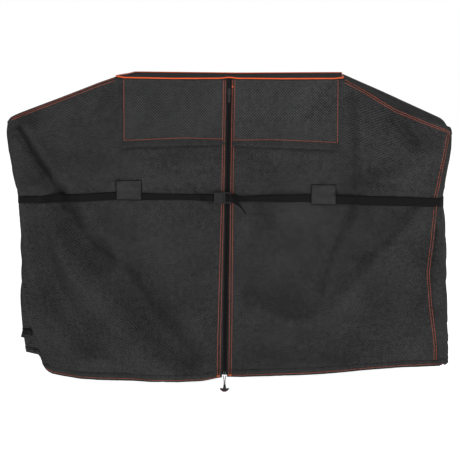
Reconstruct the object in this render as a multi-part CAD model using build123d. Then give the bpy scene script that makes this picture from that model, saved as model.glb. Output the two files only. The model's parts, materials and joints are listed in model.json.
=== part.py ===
from build123d import *
import math
import os

# A fitted fabric cover for a flat-top grill, as it hangs on the closed grill.
# The origin is the centre of the underside of the top panel, where the cover
# rests on the grill's hood. The front faces -Y, +X is to the right as seen
# from the front and +Z is up. All sizes are millimetres.

# ---- overall shape ----
top_width = 850.0
shoulder_width = 1670.0
skirt_width = 1598.0
depth = 606.0
height = 1136.0
shoulder_drop = 176.0
waist_drop = 425.0
fabric = 1.0

# ---- hem channel and drawcord ----
hem_height = 30.0
hem_thick = 8.0
cord_dia = 3.0
cord_clearance = 0.3
cord_bend = 14.0
cord_exit_spread = 15.0
cord_exit_bend = 6.0

# ---- zip ----
zip_lean = 0.95
zip_gap = 19.0
tape_thick = 0.8
tape_width = 17.0
chain_width = 4.8
chain_thick = 3.4
chain_split = 0.1
zip_foot = 3.0
garage_drop = 34.0
garage_start = 3.0
stop_height = 3.0
stop_gap = 2.0
slider_length = 22.0
slider_width = 12.0
slider_plate = 1.4
slider_clearance = 0.3
slider_grip = 12.0
box_height = 12.0
box_width = 7.2
pin_height = 20.0
pin_width = 1.8

# ---- pull tab ----
tab_length = 36.0
tab_width = 8.0
tab_thick = 1.4
tab_pin_dia = 1.6
tab_window = 4.8
lug_length = 6.0
lug_width = 3.0
lug_reach = 3.0
pivot_clearance = 0.2

# ---- vents ----
flap_drop = 258.0
flap_inset = 20.0
flap_zip_inset = 14.0
flap_stand_off = 15.0
vent_margin = 40.0
vent_top = 60.0
vent_height = 90.0

# ---- piping round the top ----
piping_dia = 5.0
piping_lift = 2.9
piping_corner = 28.0

# ---- belt across the front ----
belt_drop = 448.0
belt_width = 32.0
webbing = 1.5
webbing_gap = 0.2
belt_buckle_x = -22.0
belt_buckle_stand_off = 7.5
patch_width = 96.0
patch_above = 58.0
patch_below = 20.0
patch_face = 1.0
left_patch_x = -381.0
right_patch_x = 357.0
belt_tail_length = 88.0

# ---- straps low on the two sides ----
strap_drop = 990.0
strap_width = 25.0
strap_buckle_stand_off = 0.5
strap_tail_length = 60.0

# ---- side-release buckles ----
buckle_thick = 11.0
buckle_wall = 2.2
buckle_rim = 5.0
socket_depth = 32.0
socket_bar = 4.0
loop_slot = 7.0
window_start = 12.0
window_length = 14.0
plug_length = 28.0
plug_thick = 4.0
plug_gap = 0.5
ladder_slot = 5.0
ladder_bar = 5.0
tongue_width = 9.0
tongue_reach = 29.0
arm_reach = 28.0
arm_width = 3.6
arm_root_gap = 0.4
barb_proud = 0.3
fit_gap = 0.4
strap_ramp = 45.0
tight_bend = 0.7
easy_bend = 6.0
loop_return = 26.0

# ---- cord lock under the zip ----
cord_end_gap = 1.9
cord_drop = 36.0
lock_bore_depth = 8.0
neck_height = 15.0
neck_top_radius = 3.9
neck_base_radius = 7.0
lock_bore_spacing = 3.4
wing_span = 36.0
wing_height = 12.5
wing_tip = 3.0
wing_depth = 10.0
button_width = 14.0
button_depth = 6.0
button_height = 8.0
button_travel = 3.5
button_proud = 1.0
button_clearance = 0.25
spring_radius = 1.75
spring_wire = 0.5
spring_turns = 5
spring_seat = 6.0

# ---- worked out from the above ----
half_top = top_width / 2
half_shoulder = shoulder_width / 2
half_skirt = skirt_width / 2
half_depth = depth / 2
front_inside = -half_depth + fabric
zip_pivot = garage_drop
parts = {}


def block(x, y, z):
    """Box between pairs of coordinates."""
    size = (x[1] - x[0], y[1] - y[0], z[1] - z[0])
    centre = ((x[0] + x[1]) / 2, (y[0] + y[1]) / 2, (z[0] + z[1]) / 2)
    return Pos(*centre) * Box(*size)


def slab(face, y_front, y_back):
    """Prism of a front-elevation face between two depths."""
    return extrude(Pos(0, y_front, 0) * face, amount=y_back - y_front, dir=(0, 1, 0))


def elevation(bottom):
    """Outline of the cover seen from the front, down to a given drop."""
    corners = [
        (half_top, fabric),
        (half_shoulder, -shoulder_drop),
        (half_skirt, -waist_drop),
        (half_skirt, -bottom),
    ]
    mirrored = [(-x, z) for x, z in reversed(corners)]
    return Plane.XZ * make_face(Polyline(*corners, *mirrored, close=True))


def lean(shape):
    """Turn a piece drawn along the upright zip line onto the leaning one."""
    return Pos(0, 0, -zip_pivot) * Rot(0, zip_lean, 0) * Pos(0, 0, zip_pivot) * shape


def zip_x(drop):
    """Where the leaning zip line is, at a drop below the top."""
    return -(drop - zip_pivot) * math.tan(math.radians(zip_lean))


def ribbon(points, width, thick, radii):
    """Webbing along a path in the local x and outward directions."""
    if len(points) > 2:
        path = FilletPolyline(*points, radius=radii)
    else:
        path = Polyline(*points)
    return Rot(90, 0, 0) * extrude(trace(path, thick), amount=width / 2, both=True)


# ---------------------------------------------------------------- panels
def make_panels():
    outer = elevation(height)
    inner = offset(elevation(height + 4 * fabric), amount=-fabric, kind=Kind.INTERSECTION)
    back_inside = half_depth - fabric
    band = slab(outer, front_inside, back_inside) - slab(inner, -half_depth, half_depth)
    reach = shoulder_width
    across = (-reach, reach)
    parts["top_panel"] = band & block((-half_top, half_top), across, (-shoulder_drop, reach))
    for side, sign in (("left", -1), ("right", 1)):
        beyond = tuple(sorted((sign * half_top, sign * reach)))
        above = block(beyond, across, (-shoulder_drop, reach))
        below = block(beyond, across, (-reach, -shoulder_drop))
        parts[side + "_shoulder_panel"] = band & above
        parts[side + "_side_panel"] = band & below
        front = slab(outer, -half_depth, front_inside)
        half = tuple(sorted((sign * zip_gap / 2, sign * 2 * reach)))
        front = front & lean(block(half, across, (-2 * reach, reach)))
        parts[side + "_front_panel"] = front
    parts["back_panel"] = slab(outer, back_inside, half_depth)


# ---------------------------------------------------------------- vents
def make_vents():
    """Mesh windows in the front and the flaps that hang over them."""
    tilt = math.degrees(math.atan2(flap_stand_off, flap_drop))
    for side, sign in (("left", -1), ("right", 1)):
        edges = (sign * flap_zip_inset, sign * (half_top - flap_inset))
        x = tuple(sorted(edges))
        window_x = (x[0] + vent_margin, x[1] - vent_margin)
        window_z = (-vent_top - vent_height, -vent_top)
        window = block(window_x, (-half_depth, front_inside), window_z)
        parts[side + "_front_panel"] -= window
        parts[side + "_vent_mesh"] = window
        flap_y = (-half_depth - fabric - webbing_gap, -half_depth - webbing_gap)
        flap = block(x, flap_y, (-flap_drop, -fabric))
        hinge = (0, -half_depth - webbing_gap, -fabric)
        back = tuple(-value for value in hinge)
        parts[side + "_vent_flap"] = Pos(*hinge) * Rot(-tilt, 0, 0) * Pos(*back) * flap


# ---------------------------------------------------------------- piping
def make_piping():
    """Corded edge round the top panel's seam."""
    half_x = half_top
    half_y = half_depth + piping_dia / 2 - fabric / 2
    loop = Pos(0, 0, fabric + piping_lift) * RectangleRounded(2 * half_x, 2 * half_y, piping_corner)
    path = loop.wire()
    section = Plane(origin=path @ 0, z_dir=path % 0) * Circle(piping_dia / 2)
    parts["top_piping"] = sweep(section, path=path)


# ---------------------------------------------------------------- hem and drawcord
def drawcord_path():
    """Centre line of the drawcord: in at the zip, round the hem and out again."""
    run_y = half_depth - fabric - hem_thick / 2
    run_x = half_skirt - fabric - hem_thick / 2
    z = -height + hem_height / 2
    foot = zip_x(height)
    left = foot - cord_exit_spread / 2
    right = foot + cord_exit_spread / 2
    points = [
        (left, -run_y, -height),
        (left, -run_y, z),
        (-run_x, -run_y, z),
        (-run_x, run_y, z),
        (run_x, run_y, z),
        (run_x, -run_y, z),
        (right, -run_y, z),
        (right, -run_y, -height),
    ]
    radii = [cord_exit_bend] + [cord_bend] * 4 + [cord_exit_bend]
    return FilletPolyline(*points, radius=radii)


def tube(path, radius):
    section = Plane(origin=path @ 0, z_dir=path % 0) * Circle(radius)
    return sweep(section, path=path, transition=Transition.ROUND)


def make_hem():
    """Turned-up hem tubes on the inside of the skirt, with the cord inside."""
    z = (-height, -height + hem_height)
    hollow_z = (z[0] + fabric, z[1] - fabric)
    inside_x = half_skirt - fabric
    inside_y = half_depth - fabric
    start = zip_gap / 2 + tape_width - chain_width / 2
    foot = zip_x(height - hem_height / 2)
    front_y = (-inside_y, -inside_y + hem_thick)
    front_hollow = (front_y[0] + fabric, front_y[1] - fabric)
    passage = tube(drawcord_path(), cord_dia / 2 + cord_clearance)
    for side, sign in (("left", -1), ("right", 1)):
        x = tuple(sorted((foot + sign * start, sign * inside_x)))
        hollow_x = tuple(sorted((foot + sign * (start - fabric), sign * (inside_x - fabric))))
        hem = block(x, front_y, z) - block(hollow_x, front_hollow, hollow_z)
        parts[side + "_front_hem"] = hem - passage
        side_x = tuple(sorted((sign * (inside_x - hem_thick), sign * inside_x)))
        hollow = (side_x[0] + fabric, side_x[1] - fabric)
        side_y = (-inside_y + hem_thick, inside_y - hem_thick)
        hem = block(side_x, side_y, z) - block(hollow, side_y, hollow_z)
        parts[side + "_side_hem"] = hem - passage
    back_y = (inside_y - hem_thick, inside_y)
    back_hollow = (back_y[0] + fabric, back_y[1] - fabric)
    hollow_x = (-inside_x + fabric, inside_x - fabric)
    hem = block((-inside_x, inside_x), back_y, z) - block(hollow_x, back_hollow, hollow_z)
    parts["back_hem"] = hem - passage
    parts["drawcord"] = tube(drawcord_path(), cord_dia / 2)


# ---------------------------------------------------------------- zip
def make_zip():
    """Open-ended zip between the two front panels, closed, slider at the top."""
    tape_y = (front_inside, front_inside + tape_thick)
    chain_mid = (tape_y[0] + tape_y[1]) / 2
    chain_y = (chain_mid - chain_thick / 2, chain_mid + chain_thick / 2)
    tape_top = -garage_start
    tape_foot = -height + zip_foot
    stop_top = -garage_drop - stop_gap
    slider_top = stop_top - stop_height - slider_clearance
    slider_foot = slider_top - slider_length
    chain_top = slider_foot + slider_grip
    chain_foot = tape_foot + pin_height
    half_chain = chain_width / 2
    half_box = box_width / 2
    box_y = (chain_y[0] - slider_clearance, chain_y[1])
    box_z = (tape_foot, tape_foot + box_height)
    box_shell = block((-half_box, half_box), box_y, box_z)
    room = block(
        (-half_box - slider_clearance, half_box + slider_clearance),
        (box_y[0], box_y[1]),
        (tape_foot, box_z[1] + slider_clearance),
    )
    stops = []
    for side, sign in (("left", -1), ("right", 1)):
        x = tuple(sorted((sign * half_chain, sign * (half_chain + tape_width))))
        tape = block(x, tape_y, (tape_foot, tape_top)) - room
        parts[side + "_zip_tape"] = lean(tape)
        x = tuple(sorted((sign * chain_split / 2, sign * half_chain)))
        parts[side + "_zip_teeth"] = lean(block(x, chain_y, (chain_foot, chain_top)))
        x = tuple(sorted((sign * half_chain / 2, sign * (half_chain + 1))))
        stops.append(block(x, chain_y, (stop_top - stop_height, stop_top)) - tape)
    pairs = [solid for stop in stops for solid in stop.solids()]
    parts["zip_top_stops"] = lean(Compound(children=pairs))

    pin_z = (tape_foot + 2 * slider_plate, chain_foot - slider_clearance)
    pin_y = (chain_mid - pin_width / 2, chain_mid + pin_width / 2)
    left_x = (-half_chain + slider_clearance, -half_chain + slider_clearance + pin_width)
    right_x = (-left_x[1], -left_x[0])
    socket = block(
        (left_x[0] - pivot_clearance, left_x[1] + pivot_clearance),
        (pin_y[0] - pivot_clearance, pin_y[1] + pivot_clearance),
        (pin_z[0] - pivot_clearance, box_z[1]),
    )
    parts["zip_pin"] = lean(block(left_x, pin_y, pin_z))
    parts["zip_box"] = lean(box_shell - socket + block(right_x, pin_y, pin_z))

    garage_x = zip_gap / 2 - webbing_gap
    garage_y = (-half_depth, -half_depth + fabric - webbing_gap)
    garage = block((-garage_x, garage_x), garage_y, (-garage_drop, -garage_start))
    parts["zip_garage"] = lean(garage)

    half_slider = slider_width / 2
    z = (slider_foot, slider_top)
    front_y = (chain_y[0] - slider_clearance - slider_plate, chain_y[0] - slider_clearance)
    back_y = (chain_y[1] + slider_clearance, chain_y[1] + slider_clearance + slider_plate)
    slider = block((-half_slider, half_slider), front_y, z)
    slider += block((-half_slider, half_slider), back_y, z)
    bridge_z = (chain_top + slider_clearance, slider_top)
    slider += block((-pin_width, pin_width), (front_y[0], back_y[1]), bridge_z)
    lip_front = (front_y[0], tape_y[0] - slider_clearance)
    lip_back = (tape_y[1] + slider_clearance, back_y[1])
    for sign in (-1, 1):
        lip_x = tuple(sorted((sign * (half_slider - slider_plate), sign * half_slider)))
        slider += block(lip_x, lip_front, z)
        slider += block(lip_x, lip_back, z)
    pivot_y = front_y[0] - lug_reach / 2 - pivot_clearance
    pivot_z = slider_foot + slider_length / 3
    lug_z = (pivot_z - lug_length / 2, pivot_z + lug_length / 2)
    slider += block((-lug_width / 2, lug_width / 2), (front_y[0] - lug_reach, front_y[0]), lug_z)
    along_x = Pos(0, pivot_y, pivot_z) * Rot(0, 90, 0)
    slider -= along_x * Cylinder(tab_pin_dia / 2 + pivot_clearance, slider_width)
    parts["zip_slider"] = lean(slider)

    tab_y = (pivot_y - tab_thick / 2, pivot_y + tab_thick / 2)
    tab = block((-tab_width / 2, tab_width / 2), tab_y, (pivot_z - tab_length, pivot_z))
    opening = lug_width / 2 + slider_clearance
    tab -= block((-opening, opening), tab_y, (pivot_z - tab_window, pivot_z + tab_window))
    tab += along_x * Cylinder(tab_pin_dia / 2, tab_width)
    parts["zip_pull_tab"] = lean(tab)
    print("tab pivot", pivot_y, pivot_z, "slider travel", slider_foot - box_z[1])


# ---------------------------------------------------------------- buckles and webbing
def make_buckle(name, place, width):
    """Side-release buckle: local x is the way the plug pulls out, z is outward."""
    half = width / 2 + buckle_rim
    mid = buckle_thick / 2
    bar_room = socket_bar + loop_slot
    socket_end = -(socket_depth + buckle_wall + bar_room)
    hollow_half = half - buckle_wall
    hollow_z = (buckle_wall, buckle_thick - buckle_wall)
    socket = block((socket_end, 0), (-half, half), (0, buckle_thick))
    socket -= block((-socket_depth, 0), (-hollow_half, hollow_half), hollow_z)
    slot_x = (socket_end + socket_bar, socket_end + socket_bar + loop_slot)
    slot_half = width / 2 + 1
    socket -= block((socket_end, slot_x[1]), (-slot_half, slot_half), (0, buckle_thick))
    bar_z = (mid - socket_bar / 2, mid + socket_bar / 2)
    socket += block((socket_end, slot_x[0]), (-slot_half, slot_half), bar_z)
    window_x = (-window_start - window_length, -window_start)
    socket -= block(window_x, (-half, half), hollow_z)
    parts[name + "_buckle_socket"] = place * socket

    plug_z = (mid - plug_thick / 2, mid + plug_thick / 2)
    plug = block((plug_gap, plug_gap + plug_length), (-half, half), plug_z)
    slot_2 = plug_gap + plug_length - ladder_bar - ladder_slot
    slot_1 = slot_2 - ladder_bar - ladder_slot
    for start in (slot_1, slot_2):
        plug -= block((start, start + ladder_slot), (-slot_half, slot_half), plug_z)
    tongue_z = (hollow_z[0] + fit_gap, hollow_z[1] - fit_gap)
    tongue = block((-tongue_reach, plug_gap), (-tongue_width / 2, tongue_width / 2), plug_z)
    nose = block((-tongue_reach, -tongue_reach / 2), (-tongue_width / 2, tongue_width / 2), tongue_z)
    parts[name + "_buckle_plug"] = place * (plug + tongue + nose)

    arm_outer = hollow_half - fit_gap
    arm_x = (-arm_reach, plug_gap - arm_root_gap)
    barb_x = (window_x[0] + fit_gap, window_x[1] - fit_gap)
    for label, sign in (("upper", 1), ("lower", -1)):
        y = tuple(sorted((sign * (arm_outer - arm_width), sign * arm_outer)))
        arm = block(arm_x, y, plug_z)
        y = tuple(sorted((sign * (arm_outer - arm_width), sign * (half + barb_proud))))
        arm += block(barb_x, y, plug_z)
        parts[name + "_buckle_" + label + "_arm"] = place * arm
    return {
        "bar": socket_end + socket_bar / 2,
        "mid": mid,
        "slot_1": slot_1 + ladder_slot / 2,
        "slot_2": slot_2 + ladder_slot / 2,
        "end": plug_gap + plug_length,
        "over": mid + plug_thick / 2 + webbing_gap + webbing / 2,
        "under": mid - plug_thick / 2 - webbing_gap - webbing / 2,
    }


def fixed_strap(marks, stand_off, outer_points, outer_radii):
    """Webbing that loops round the socket's bar and is sewn back on itself."""
    loop_radius = socket_bar / 2 + webbing_gap + webbing / 2
    turn = marks["bar"] + loop_radius
    flat = -stand_off + webbing_gap + webbing / 2
    low = marks["mid"] - loop_radius
    high = marks["mid"] + loop_radius
    slope = (high - flat) / (strap_ramp - loop_radius)
    sewn = flat + slope * (strap_ramp - loop_return) - 2 * webbing
    inner = [
        (marks["bar"] - strap_ramp, flat),
        (marks["bar"] - loop_radius, high),
        (turn, high),
        (turn, low),
        (marks["bar"] - loop_radius, low),
        (marks["bar"] - loop_return, sewn),
    ]
    bend = webbing * tight_bend
    return outer_points + inner, outer_radii + [easy_bend, bend, bend, bend, easy_bend]


def running_strap(marks, stand_off, outer_points, outer_radii):
    """Webbing that comes up through the plug's ladder and over its bar."""
    load = marks["under"] - webbing - webbing_gap
    flat = -stand_off + webbing_gap + webbing / 2
    bend = webbing * tight_bend
    inner = [
        (marks["slot_2"], marks["mid"]),
        (marks["slot_2"], marks["over"]),
        (marks["slot_1"], marks["over"]),
        (marks["slot_1"], load),
        (marks["end"] + ladder_bar, load),
        (marks["end"] + strap_ramp, flat),
    ]
    return inner + outer_points, [bend, bend, bend, easy_bend, easy_bend] + outer_radii


def make_belt():
    """Belt round the waist, sewn into both rear corners, buckled over the zip."""
    origin = (belt_buckle_x, -half_depth - belt_buckle_stand_off, -belt_drop)
    place = Plane(origin=origin, x_dir=(1, 0, 0), z_dir=(0, -1, 0)).location
    marks = make_buckle("belt", place, belt_width)
    lift = webbing_gap + webbing / 2
    side_x = half_skirt + lift
    flat = -belt_buckle_stand_off + lift
    rear = -belt_buckle_stand_off - depth + 2 * fabric
    bend = webbing * tight_bend
    left = [(-side_x - belt_buckle_x, rear), (-side_x - belt_buckle_x, flat)]
    right = [(side_x - belt_buckle_x, flat), (side_x - belt_buckle_x, rear)]
    points, radii = fixed_strap(marks, belt_buckle_stand_off, left, [bend])
    parts["left_belt_webbing"] = place * ribbon(points, belt_width, webbing, radii)
    points, radii = running_strap(marks, belt_buckle_stand_off, right, [bend])
    parts["right_belt_webbing"] = place * ribbon(points, belt_width, webbing, radii)

    run = belt_tail_length / 3
    start = marks["end"] + webbing
    tail = [
        (start, 0),
        (start + run, -0.2 * run),
        (start + 1.6 * run, -run),
        (start + 1.9 * run, -2 * run),
    ]
    face = trace(FilletPolyline(*tail, radius=[run, run]), webbing)
    base = marks["mid"]
    solid = extrude(Pos(0, 0, base) * face, amount=belt_width)
    parts["belt_tail"] = place * solid

    for side, centre in (("left", left_patch_x), ("right", right_patch_x)):
        x = (centre - patch_width / 2, centre + patch_width / 2)
        face_y = -half_depth - webbing_gap - webbing - webbing_gap - patch_face
        z = (-belt_drop - patch_below, -belt_drop + patch_above)
        patch = block(x, (face_y, -half_depth), z)
        half_tunnel = belt_width / 2 + webbing_gap
        tunnel_z = (-belt_drop - half_tunnel, -belt_drop + half_tunnel)
        patch -= block(x, (face_y + patch_face, -half_depth), tunnel_z)
        parts[side + "_belt_patch"] = patch


def make_side_straps():
    """Short strap and buckle low on each side, sewn into the corner seams."""
    for side, sign in (("left", -1), ("right", 1)):
        origin = (sign * (half_skirt + strap_buckle_stand_off), 0, -strap_drop)
        place = Plane(origin=origin, x_dir=(0, 1, 0), z_dir=(sign, 0, 0)).location
        name = side + "_strap"
        marks = make_buckle(name, place, strap_width)
        lift = webbing_gap + webbing / 2
        flat = -strap_buckle_stand_off + lift
        end = half_depth - fabric
        points, radii = fixed_strap(marks, strap_buckle_stand_off, [(-end, flat)], [])
        parts[side + "_front_strap"] = place * ribbon(points, strap_width, webbing, radii)
        points, radii = running_strap(marks, strap_buckle_stand_off, [(end, flat)], [])
        parts[side + "_rear_strap"] = place * ribbon(points, strap_width, webbing, radii)
        start = marks["slot_2"] + ladder_slot
        over = marks["over"]
        tail = [(start, over), (start + strap_tail_length / 2, over), (start + strap_tail_length, over / 2)]
        parts[side + "_strap_tail"] = place * ribbon(tail, strap_width, webbing, strap_tail_length)


# ---------------------------------------------------------------- cord ends and lock
def arc_radii(points):
    """Largest tidy arc at each corner of a cord's route."""
    radii = []
    for before, corner, after in zip(points, points[1:], points[2:]):
        first = Vector(*corner) - Vector(*before)
        second = Vector(*after) - Vector(*corner)
        turn = math.radians(first.get_angle(second))
        shorter = min(first.length, second.length)
        radii.append(0.45 * shorter / math.tan(turn / 2))
    return radii


def cord_route(sign):
    """One free end of the drawcord, from the hem down into the lock."""
    foot = zip_x(height)
    y = front_inside + hem_thick / 2
    top = -height - cord_end_gap
    neck = -height - cord_drop
    near = lock_bore_spacing / 2
    far = cord_exit_spread / 2
    return [
        (foot + sign * far, y, top),
        (foot + sign * 0.95 * far, y, top - 9),
        (foot + sign * (near + 0.45 * (far - near)), y, top - 18),
        (foot + sign * (near + 0.06 * (far - near)), y, neck + 7),
        (foot + sign * near, y, neck - lock_bore_depth + 1),
    ]


def make_cord_lock():
    """Two cord ends hanging from the hem into a sprung two-finger lock."""
    foot = zip_x(height)
    y = front_inside + hem_thick / 2
    for side, sign in (("left", -1), ("right", 1)):
        route = cord_route(sign)
        radii = arc_radii(route)
        print(side, "cord end radii", [round(radius, 1) for radius in radii])
        path = FilletPolyline(*route, radius=radii)
        print(side, "cord end length", round(path.length, 1))
        parts[side + "_cord_end"] = tube(path, cord_dia / 2)

    neck_top = -height - cord_drop
    wing_top = neck_top - neck_height
    wing_low = wing_top - wing_height
    half = wing_span / 2
    outline = [
        (-half, wing_top - wing_tip / 2),
        (-half + wing_tip, wing_top),
        (-neck_base_radius, wing_top - wing_tip / 2),
        (neck_base_radius, wing_top - wing_tip / 2),
        (half - wing_tip, wing_top),
        (half, wing_top - wing_tip / 2),
    ]
    edge = Polyline(*outline) + ThreePointArc(outline[-1], (0, wing_low), outline[0])
    wings = slab(Plane.XZ * make_face(edge), -wing_depth / 2, wing_depth / 2)
    neck = Cone(neck_base_radius, neck_top_radius, neck_height + wing_tip)
    neck = Pos(0, 0, neck_top - (neck_height + wing_tip) / 2) * neck
    neck &= block((-half, half), (-wing_depth / 2, wing_depth / 2), (wing_low, neck_top))
    body = wings + neck
    near = lock_bore_spacing / 2
    for sign in (-1, 1):
        centre = Pos(sign * near, 0, neck_top - lock_bore_depth / 2)
        body -= centre * Cylinder(cord_dia / 2 + 0.1, lock_bore_depth)
    button_foot = wing_low - button_proud
    button_top = button_foot + button_height
    room_x = button_width / 2 + button_clearance
    room_y = button_depth / 2 + button_clearance
    room_top = button_top + button_travel + button_clearance
    body -= block((-room_x, room_x), (-room_y, room_y), (button_foot, room_top))
    seat_top = room_top + spring_seat
    seat_radius = spring_radius + spring_wire
    seat = Pos(0, 0, (room_top + seat_top) / 2) * Cylinder(seat_radius, seat_top - room_top)
    body -= seat
    here = Pos(foot, y, 0)
    parts["cord_lock_body"] = here * body

    half_x = button_width / 2
    half_y = button_depth / 2
    button = block((-half_x, half_x), (-half_y, half_y), (button_foot, button_top))
    parts["cord_lock_button"] = here * button

    gap = spring_wire / 2 + button_clearance / 2
    coil_height = seat_top - button_top - 2 * gap
    coil = Helix(coil_height / spring_turns, coil_height, spring_radius)
    start = Plane(origin=coil @ 0, z_dir=coil % 0)
    spring = sweep(start * Circle(spring_wire / 2), path=coil, is_frenet=True)
    parts["cord_lock_spring"] = here * Pos(0, 0, button_top + gap) * spring
    print("lock hinge", foot, y, -height, "foot", button_foot)


def write_parts():
    os.makedirs("parts", exist_ok=True)
    for node, shape in parts.items():
        solids = shape.solids()
        whole = solids[0] if len(solids) == 1 else Compound(children=list(solids))
        export_step(whole, "parts/" + node + ".step")


make_panels()
make_vents()
make_piping()
make_hem()
make_zip()
make_belt()
make_side_straps()
make_cord_lock()
write_parts()
print(len(parts), "nodes")
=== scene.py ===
# %% [markdown]
# # A fitted grill cover in woven polyester
# The cover hangs on a closed flat-top grill: a flat top, two sloping shoulders over the side shelves, a
# straight skirt, a zip down the front, a belt round the waist and a cord in the hem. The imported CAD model
# gives every size and place. Each step below says what a piece is on the real cover and how it is made here.

# %% Load the frame
import json
import math

import bmesh
import bpy
import numpy as np
from mathutils import Matrix, Vector, noise
from mathutils.bvhtree import BVHTree


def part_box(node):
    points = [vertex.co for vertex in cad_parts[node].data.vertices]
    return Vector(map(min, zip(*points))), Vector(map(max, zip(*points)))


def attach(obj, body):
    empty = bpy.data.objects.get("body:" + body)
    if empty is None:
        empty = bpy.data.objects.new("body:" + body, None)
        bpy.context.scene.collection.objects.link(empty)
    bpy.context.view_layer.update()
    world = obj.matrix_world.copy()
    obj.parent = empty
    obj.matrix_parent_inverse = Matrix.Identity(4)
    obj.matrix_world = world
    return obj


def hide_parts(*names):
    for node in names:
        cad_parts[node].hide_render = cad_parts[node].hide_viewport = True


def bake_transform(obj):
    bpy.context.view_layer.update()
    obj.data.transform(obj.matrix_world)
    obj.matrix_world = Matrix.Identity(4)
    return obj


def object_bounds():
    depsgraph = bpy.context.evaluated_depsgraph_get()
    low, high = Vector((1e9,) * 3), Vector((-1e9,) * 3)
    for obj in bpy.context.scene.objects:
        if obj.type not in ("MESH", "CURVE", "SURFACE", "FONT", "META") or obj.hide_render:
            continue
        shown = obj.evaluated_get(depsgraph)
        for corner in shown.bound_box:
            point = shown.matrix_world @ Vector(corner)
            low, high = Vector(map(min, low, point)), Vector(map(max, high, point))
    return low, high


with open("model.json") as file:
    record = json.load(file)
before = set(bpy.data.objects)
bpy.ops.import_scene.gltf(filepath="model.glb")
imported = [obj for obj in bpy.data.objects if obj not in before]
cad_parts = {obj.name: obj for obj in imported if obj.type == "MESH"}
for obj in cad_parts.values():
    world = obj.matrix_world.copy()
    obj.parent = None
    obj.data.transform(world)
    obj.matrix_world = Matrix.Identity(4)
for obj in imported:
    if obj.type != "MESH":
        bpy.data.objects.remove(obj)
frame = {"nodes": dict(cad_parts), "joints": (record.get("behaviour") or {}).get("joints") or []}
cad_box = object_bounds()
print("CAD box", cad_box)

# %% [markdown]
# The main sizes come from the boxes of the CAD panels, in metres. The front faces -Y, and the zip leans a
# little towards -X as it goes down, so its lean is read from the joint that the slider runs on.

# %% Sizes from the frame
front_low, front_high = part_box("right_front_panel")
half_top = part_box("top_panel")[1].x
belt_z = -0.452
webbing_thick = 0.0014
second_layer = 0.0012
half_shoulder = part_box("right_side_panel")[1].x
front_y = front_low.y
half_depth = -front_y
hem_z = front_low.z
fabric = front_high.y - front_low.y
zip_axis = Vector(next(joint["axis"] for joint in frame["joints"] if joint["name"] == "zip_slide"))
lean = math.atan2(-zip_axis.x, -zip_axis.z)
zip_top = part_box("zip_garage")[0].z
zip_half_gap = 0.0095


def zip_line(z):
    """x of the zip's centre at height z."""
    return (z - zip_top) * math.tan(lean)


print("half top", half_top, "half shoulder", half_shoulder, "hem", hem_z, "lean", math.degrees(lean))

# %% [markdown]
# ## Camera, light and floor
# The cover is seen from a little right of centre and a little above its top, from six metres away, so the
# front is almost flat and the top is a thin dark band. Black cloth needs large soft lights: they wrap round
# the folds and leave the floor pale.

# %% Camera
camera_data = bpy.data.cameras.new("camera")
camera_data.lens = 123.0
camera_data.clip_end = 100.0
camera = bpy.data.objects.new("camera", camera_data)
camera.location = (0.35, front_y - 5.9, 0.206)
aim = Vector((0.003, front_y, -0.572))
camera.rotation_euler = (aim - camera.location).to_track_quat("-Z", "Y").to_euler()
bpy.context.scene.collection.objects.link(camera)
bpy.context.scene.camera = camera


# %% Lights and floor
def soft_light(name, place, target, size, power):
    data = bpy.data.lights.new(name, "AREA")
    data.shape = "DISK"
    data.size = size
    data.energy = power
    light = bpy.data.objects.new(name, data)
    light.location = place
    light.rotation_euler = (Vector(target) - Vector(place)).to_track_quat("-Z", "Y").to_euler()
    bpy.context.scene.collection.objects.link(light)


centre = Vector((0, 0, hem_z / 2))
soft_light("key", (2.4, -5.2, 3.7), centre, 1.0, 190.0)
soft_light("fill", (-3.6, -3.2, 0.2), centre, 1.8, 14.0)
soft_light("back", (0.5, 4.5, 3.0), centre, 2.5, 25.0)

world = bpy.data.worlds.new("studio")
world.use_nodes = True
sky = world.node_tree.nodes
sky_links = world.node_tree.links
sky_place = sky.new("ShaderNodeTexCoord")
sky_parts = sky.new("ShaderNodeSeparateXYZ")
sky_height = sky.new("ShaderNodeMath")
sky_height.operation = "ABSOLUTE"
sky_links.new(sky_place.outputs["Generated"], sky_parts.inputs[0])
sky_links.new(sky_parts.outputs["Z"], sky_height.inputs[0])


def sky_range(source, values):
    ranged = sky.new("ShaderNodeMapRange")
    for socket, value in zip(("From Min", "From Max", "To Min", "To Max"), values):
        ranged.inputs[socket].default_value = value
    sky_links.new(source, ranged.inputs["Value"])
    return ranged.outputs["Result"]


sky_strength = sky.new("ShaderNodeMath")
sky_strength.operation = "MULTIPLY"
sky_links.new(sky_range(sky_height.outputs[0], (0.20, 0.34, 1.0, 0.08)), sky_strength.inputs[0])
sky_links.new(sky_range(sky_parts.outputs["Y"], (-0.3, 0.3, 0.55, 1.0)), sky_strength.inputs[1])
sky_links.new(sky_strength.outputs[0], sky["Background"].inputs["Strength"])
sky["Background"].inputs["Color"].default_value = (1, 1, 1, 1)
bpy.context.scene.world = world
bpy.context.scene.view_settings.view_transform = "Standard"


def mesh_of(work, name, smooth=False):
    """Turns a finished bmesh into a mesh and lets the bmesh go."""
    if smooth:
        for face in work.faces:
            face.smooth = True
    mesh = bpy.data.meshes.new(name)
    work.to_mesh(mesh)
    work.free()
    return mesh


bm = bmesh.new()
bmesh.ops.create_grid(bm, x_segments=2, y_segments=2, size=14.0)
floor_z = cad_box[0][2] - 0.004
bmesh.ops.translate(bm, vec=(0, 0, floor_z), verts=bm.verts)
floor_mesh = mesh_of(bm, "floor")
floor = bpy.data.objects.new("floor", floor_mesh)
bpy.context.scene.collection.objects.link(floor)
print("floor at", round(floor_z, 4))

# %% [markdown]
# ## Writing materials as sums
# Patterns such as a weave are sums and products of waves. A small class wraps a socket, so that a pattern
# reads like arithmetic, and one method adds any other node.


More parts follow.
